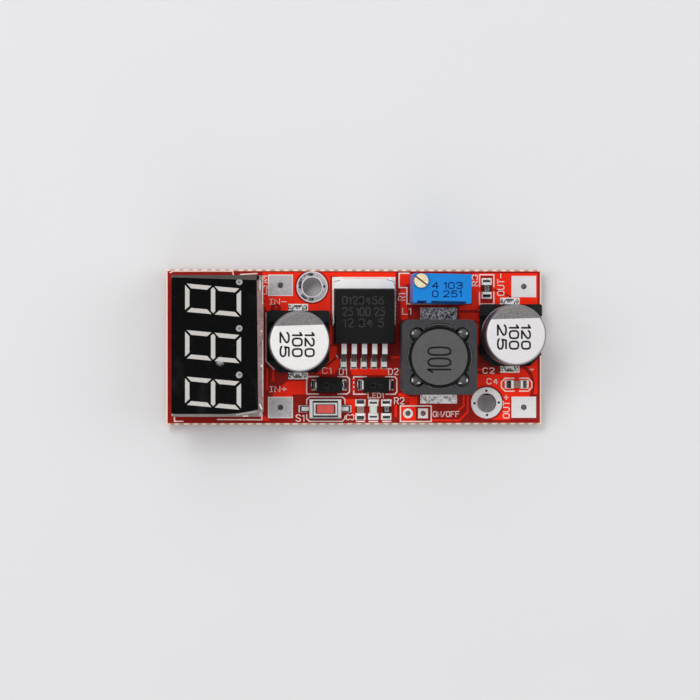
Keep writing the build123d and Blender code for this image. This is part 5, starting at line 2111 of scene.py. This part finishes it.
MARGINS: dict[str, tuple[Finish, Outline]] = {
    # A flat strip painted darker as the shaded slanted front side of the shell
    "bare_face_edge": (
        PALETTE.slope,
        (
            (258.9, 409.4), (250, 411.2), (238, 413.2), (222, 414.4), (200, 414.9), (173, 415.0),
            (173, 416.6), (258.9, 416.6),
        ),
    ),
    "back_margin": (
        PALETTE.back_margin, ((171.6, 275.2), (259.4, 275.2), (258.6, 280.2), (172.6, 277.6)),
    ),
    "right_margin": (
        PALETTE.right_margin, ((256.8, 276.0), (263.4, 275.6), (263.6, 412.0), (258.3, 409.8)),
    ),
}
MARGIN_GLINTS: tuple[tuple[Outline, float], ...] = (
    (((260.0, 280.6), (260.1, 290.0)), 0.17),
    (((262.6, 277.0), (262.7, 304.0)), 0.08),
    (((261.4, 330.8), (261.6, 331.6)), 0.2),
    (((261.4, 365.6), (261.8, 366.4)), 0.26),
    (((262.7, 340.0), (262.8, 396.0)), 0.08),
    (((259.8, 404.6), (261.6, 408.6)), 0.28),
    (((236.0, 414.9), (256.0, 411.5)), 0.07),
    (((243.2, 416.0), (248.0, 415.8)), 0.15),
)
LIGHT_POINTS: Outline = ((239.1, 282.1), (239.5, 328.3), (239.7, 374.6))


@dataclass
class Display:
    """Margins, light bars and light points of the display's face."""

    top_mm: float = 12.0
    skin: float = 0.02 * MM
    glint: float = 0.003 * MM
    slim: float = 0.085 * MM
    stretch: float = 0.085 * MM
    shortest_side: float = 0.3 * MM
    along_from: float = 0.97
    overlap: float = 0.02 * MM
    proud: float = 0.002 * MM
    point_sunk: float = 0.03 * MM
    point_height: float = 0.006 * MM
    point_radius: float = 0.52 * MM
    core_radius: float = 0.2 * MM
    left_inset: float = 0.1 * MM
    front_inset: float = 0.6 * MM
    back_inset: float = 0.4 * MM

    def build(self) -> None:
        """Make every piece of the face."""
        self.left_margin()
        self.bars()
        self.margins()
        self.points()

    def margins(self) -> None:
        """The shell's bare edges beside the face, one painted darker as a shaded slanted side, and the
        painted glints on them.
        """
        height = self.top_mm - BOARD_TOP_MM
        for name, (finish, outline) in MARGINS.items():
            work = FlatWork(name, self.top_mm * MM, self.skin)
            work.patch(RULER.places(outline, height))
            work.piece(finish, "shell_grey")
        glints = FlatWork("margin_glints", self.top_mm * MM + self.skin, self.glint)
        for points, width in MARGIN_GLINTS:
            glints.line(RULER.places(points, height), width * MM)
        glints.piece(PALETTE.glint, "shell_grey")

    def points(self) -> None:
        """The three light points, with a darker core in each."""
        level = self.top_mm * MM - self.point_sunk
        discs = FlatWork("light_points", level, self.point_height)
        cores = FlatWork("point_cores", level + self.point_height, HAIR)
        for place in RULER.places(LIGHT_POINTS, self.top_mm - BOARD_TOP_MM):
            discs.dot(place, self.point_radius, 28)
            cores.dot(place, self.core_radius, 18)
        discs.piece(PALETTE.point, "bar_grey")
        cores.piece(PALETTE.core, "bar_grey")

    def bars(self) -> None:
        """Draw the light bars slimmer and longer than the slots that hold them."""
        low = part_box("display_bars")[1].z
        edges = FlatWork("bar_edges", low, self.top_mm * MM - low + self.proud)
        faces = FlatWork("bar_faces", self.top_mm * MM, HAIR)
        for outline in flat_tops("display_bars"):
            pairs = zip(outline, outline[1:] + outline[:1])
            runs = [(start, end - start) for start, end in pairs]
            sides = [(start, run) for start, run in runs if run.length > self.shortest_side]
            if not sides:
                continue
            axis = max((way for _, way in sides), key=lambda way: way.length).normalized()
            lines = []
            for start, run in sides:
                way = run.normalized()
                inward = Vector((-way.y, way.x))
                along = abs(way.dot(axis)) > self.along_from
                lines.append((start + inward * (self.slim if along else -self.stretch), way))
                if along:
                    near, far = start - inward * self.overlap, start + inward * self.slim
                    edges.patch([tuple(spot) for spot in (near, near + run, far + run, far)])
            corners = []
            for (spot, way), (next_spot, next_way) in zip(lines, lines[1:] + lines[:1]):
                reach = (next_spot - spot).cross(next_way) / way.cross(next_way)
                corners.append(tuple(spot + way * reach))
            faces.patch(corners)
        edges.piece(PALETTE.film, "face_black")
        faces.piece(PALETTE.bar, "bar_grey")

    def left_margin(self) -> None:
        """Blacken the shell's left rim, so that the dark face seems to reach over it."""
        low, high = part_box("display_shell")
        work = FlatWork("left_margin", high.z, self.skin)
        left, right = low.x + self.left_inset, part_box("display_face")[0].x
        front, back = low.y + self.front_inset, high.y - self.back_inset
        work.patch(((left, front), (right, front), (right, back), (left, back)))
        work.piece(PALETTE.film, "face_black")


CHIP_WORDS: dict[str, Label] = {
    "lamp_resistor_mark": Label("102", 384.6, 406.6, 389.0, 412.4, Reading.CLIMBING),
    "feedback_resistor_mark": Label("102", 485.0, 284.8, 489.8, 291.6, Reading.CLIMBING),
}


@dataclass
class Chips:
    """Numbers on the two resistors."""

    top_mm: float = 3.4
    pen: float = 0.085 * MM

    def build(self) -> None:
        """Mark both resistors."""
        for name, label in CHIP_WORDS.items():
            PrintedFace(
                name, (label,), self.top_mm, self.pen, HAIR, PALETTE.chip_ink, "lamp_white", smooth=False
            ).build()


LAMPS: dict[str, tuple[Size, float, float]] = {
    "left_lamp": ((-0.55, 0.05, 0.5), 0.5, 1.3),
    "right_lamp": ((0.55, 0.1, 0.5), 0.5, 1.3),
    "back_lamp": ((-0.05, 0.6, 0.55), 0.6, 1.2),
    "front_lamp": ((0.05, -0.6, 0.5), 0.5, 0.9),
    "high_lamp": ((-0.34, 0.42, 0.85), 0.35, 2.6),
}


@dataclass
class Studio:
    """Pale floor, soft lights and the camera."""

    floor_colour: Colour = tone(226, 226, 228)
    floor_half: float = 3.0
    floor_level: float = -0.02 * MM
    sky: float = 0.35
    target: Size = (-0.712 * MM, -0.486 * MM, 2.8 * MM)
    distance: float = 450.0 * MM
    tilt_deg: float = 2.4
    focal_px: float = 2686.0
    picture_px: float = 700.0
    sensor_mm: float = 36.0
    clip: Point = (0.01, 20.0)

    def build(self) -> None:
        """Set the floor, the lights, the world and the camera."""
        self.floor()
        self.lights()
        self.world()
        self.camera()
        bpy.context.scene.view_settings.view_transform = "Standard"

    def floor(self) -> None:
        """Lay a pale floor just under the pin ends."""
        half = self.floor_half
        mesh = bpy.data.meshes.new("floor")
        corners = [(-half, -half, 0.0), (half, -half, 0.0), (half, half, 0.0), (-half, half, 0.0)]
        mesh.from_pydata(corners, [], [(0, 1, 2, 3)])
        floor = bpy.data.objects.new("floor", mesh)
        floor.location.z = self.floor_level
        bpy.context.scene.collection.objects.link(floor)
        paper = Finish(
            "floor_paper", self.floor_colour, rough=0.9, wander=0.01, patch_mm=30.0, grain_depth_mm=0.0
        )
        paper.dress(floor)

    def lights(self) -> None:
        """Hang four wide lamps round the module and a higher one behind its left end."""
        for name, (place, size, power) in LAMPS.items():
            data = bpy.data.lights.new(name, "AREA")
            data.size = size
            data.energy = power
            lamp = bpy.data.objects.new(name, data)
            lamp.location = place
            lamp.rotation_euler = (-Vector(place)).to_track_quat("-Z", "Y").to_euler()
            bpy.context.scene.collection.objects.link(lamp)

    def world(self) -> None:
        """Light the whole scene with an even pale sky."""
        world = bpy.data.worlds.new("sky")
        world.use_nodes = True
        sky = world.node_tree.nodes["Background"]
        sky.inputs["Color"].default_value = (1.0, 1.0, 1.0, 1.0)
        sky.inputs["Strength"].default_value = self.sky
        bpy.context.scene.world = world

    def camera(self) -> None:
        """Place the camera at the picture's angle."""
        data = bpy.data.cameras.new("camera")
        data.sensor_fit = "HORIZONTAL"
        data.sensor_width = self.sensor_mm
        data.lens = self.sensor_mm * self.focal_px / self.picture_px
        data.clip_start, data.clip_end = self.clip
        camera = bpy.data.objects.new("camera", data)
        tilt = math.radians(self.tilt_deg)
        way = Vector((-math.sin(tilt), 0.0, math.cos(tilt)))
        camera.location = Vector(self.target) + way * self.distance
        camera.rotation_euler = (0.0, -tilt, 0.0)
        bpy.context.scene.collection.objects.link(camera)
        bpy.context.scene.camera = camera


def main() -> None:
    """Dress the frame and build every piece in order."""
    logging.basicConfig(level=logging.INFO, format="%(name)s: %(message)s")
    kinds = (Nodes, BoardWork, Display, Capacitors, Regulator, Diodes, Inductor, Trimmer, Chips, Studio)
    for kind in kinds:
        log.info("building %s", kind.__name__)
        kind().build()


if __name__ == "__main__":
    main()
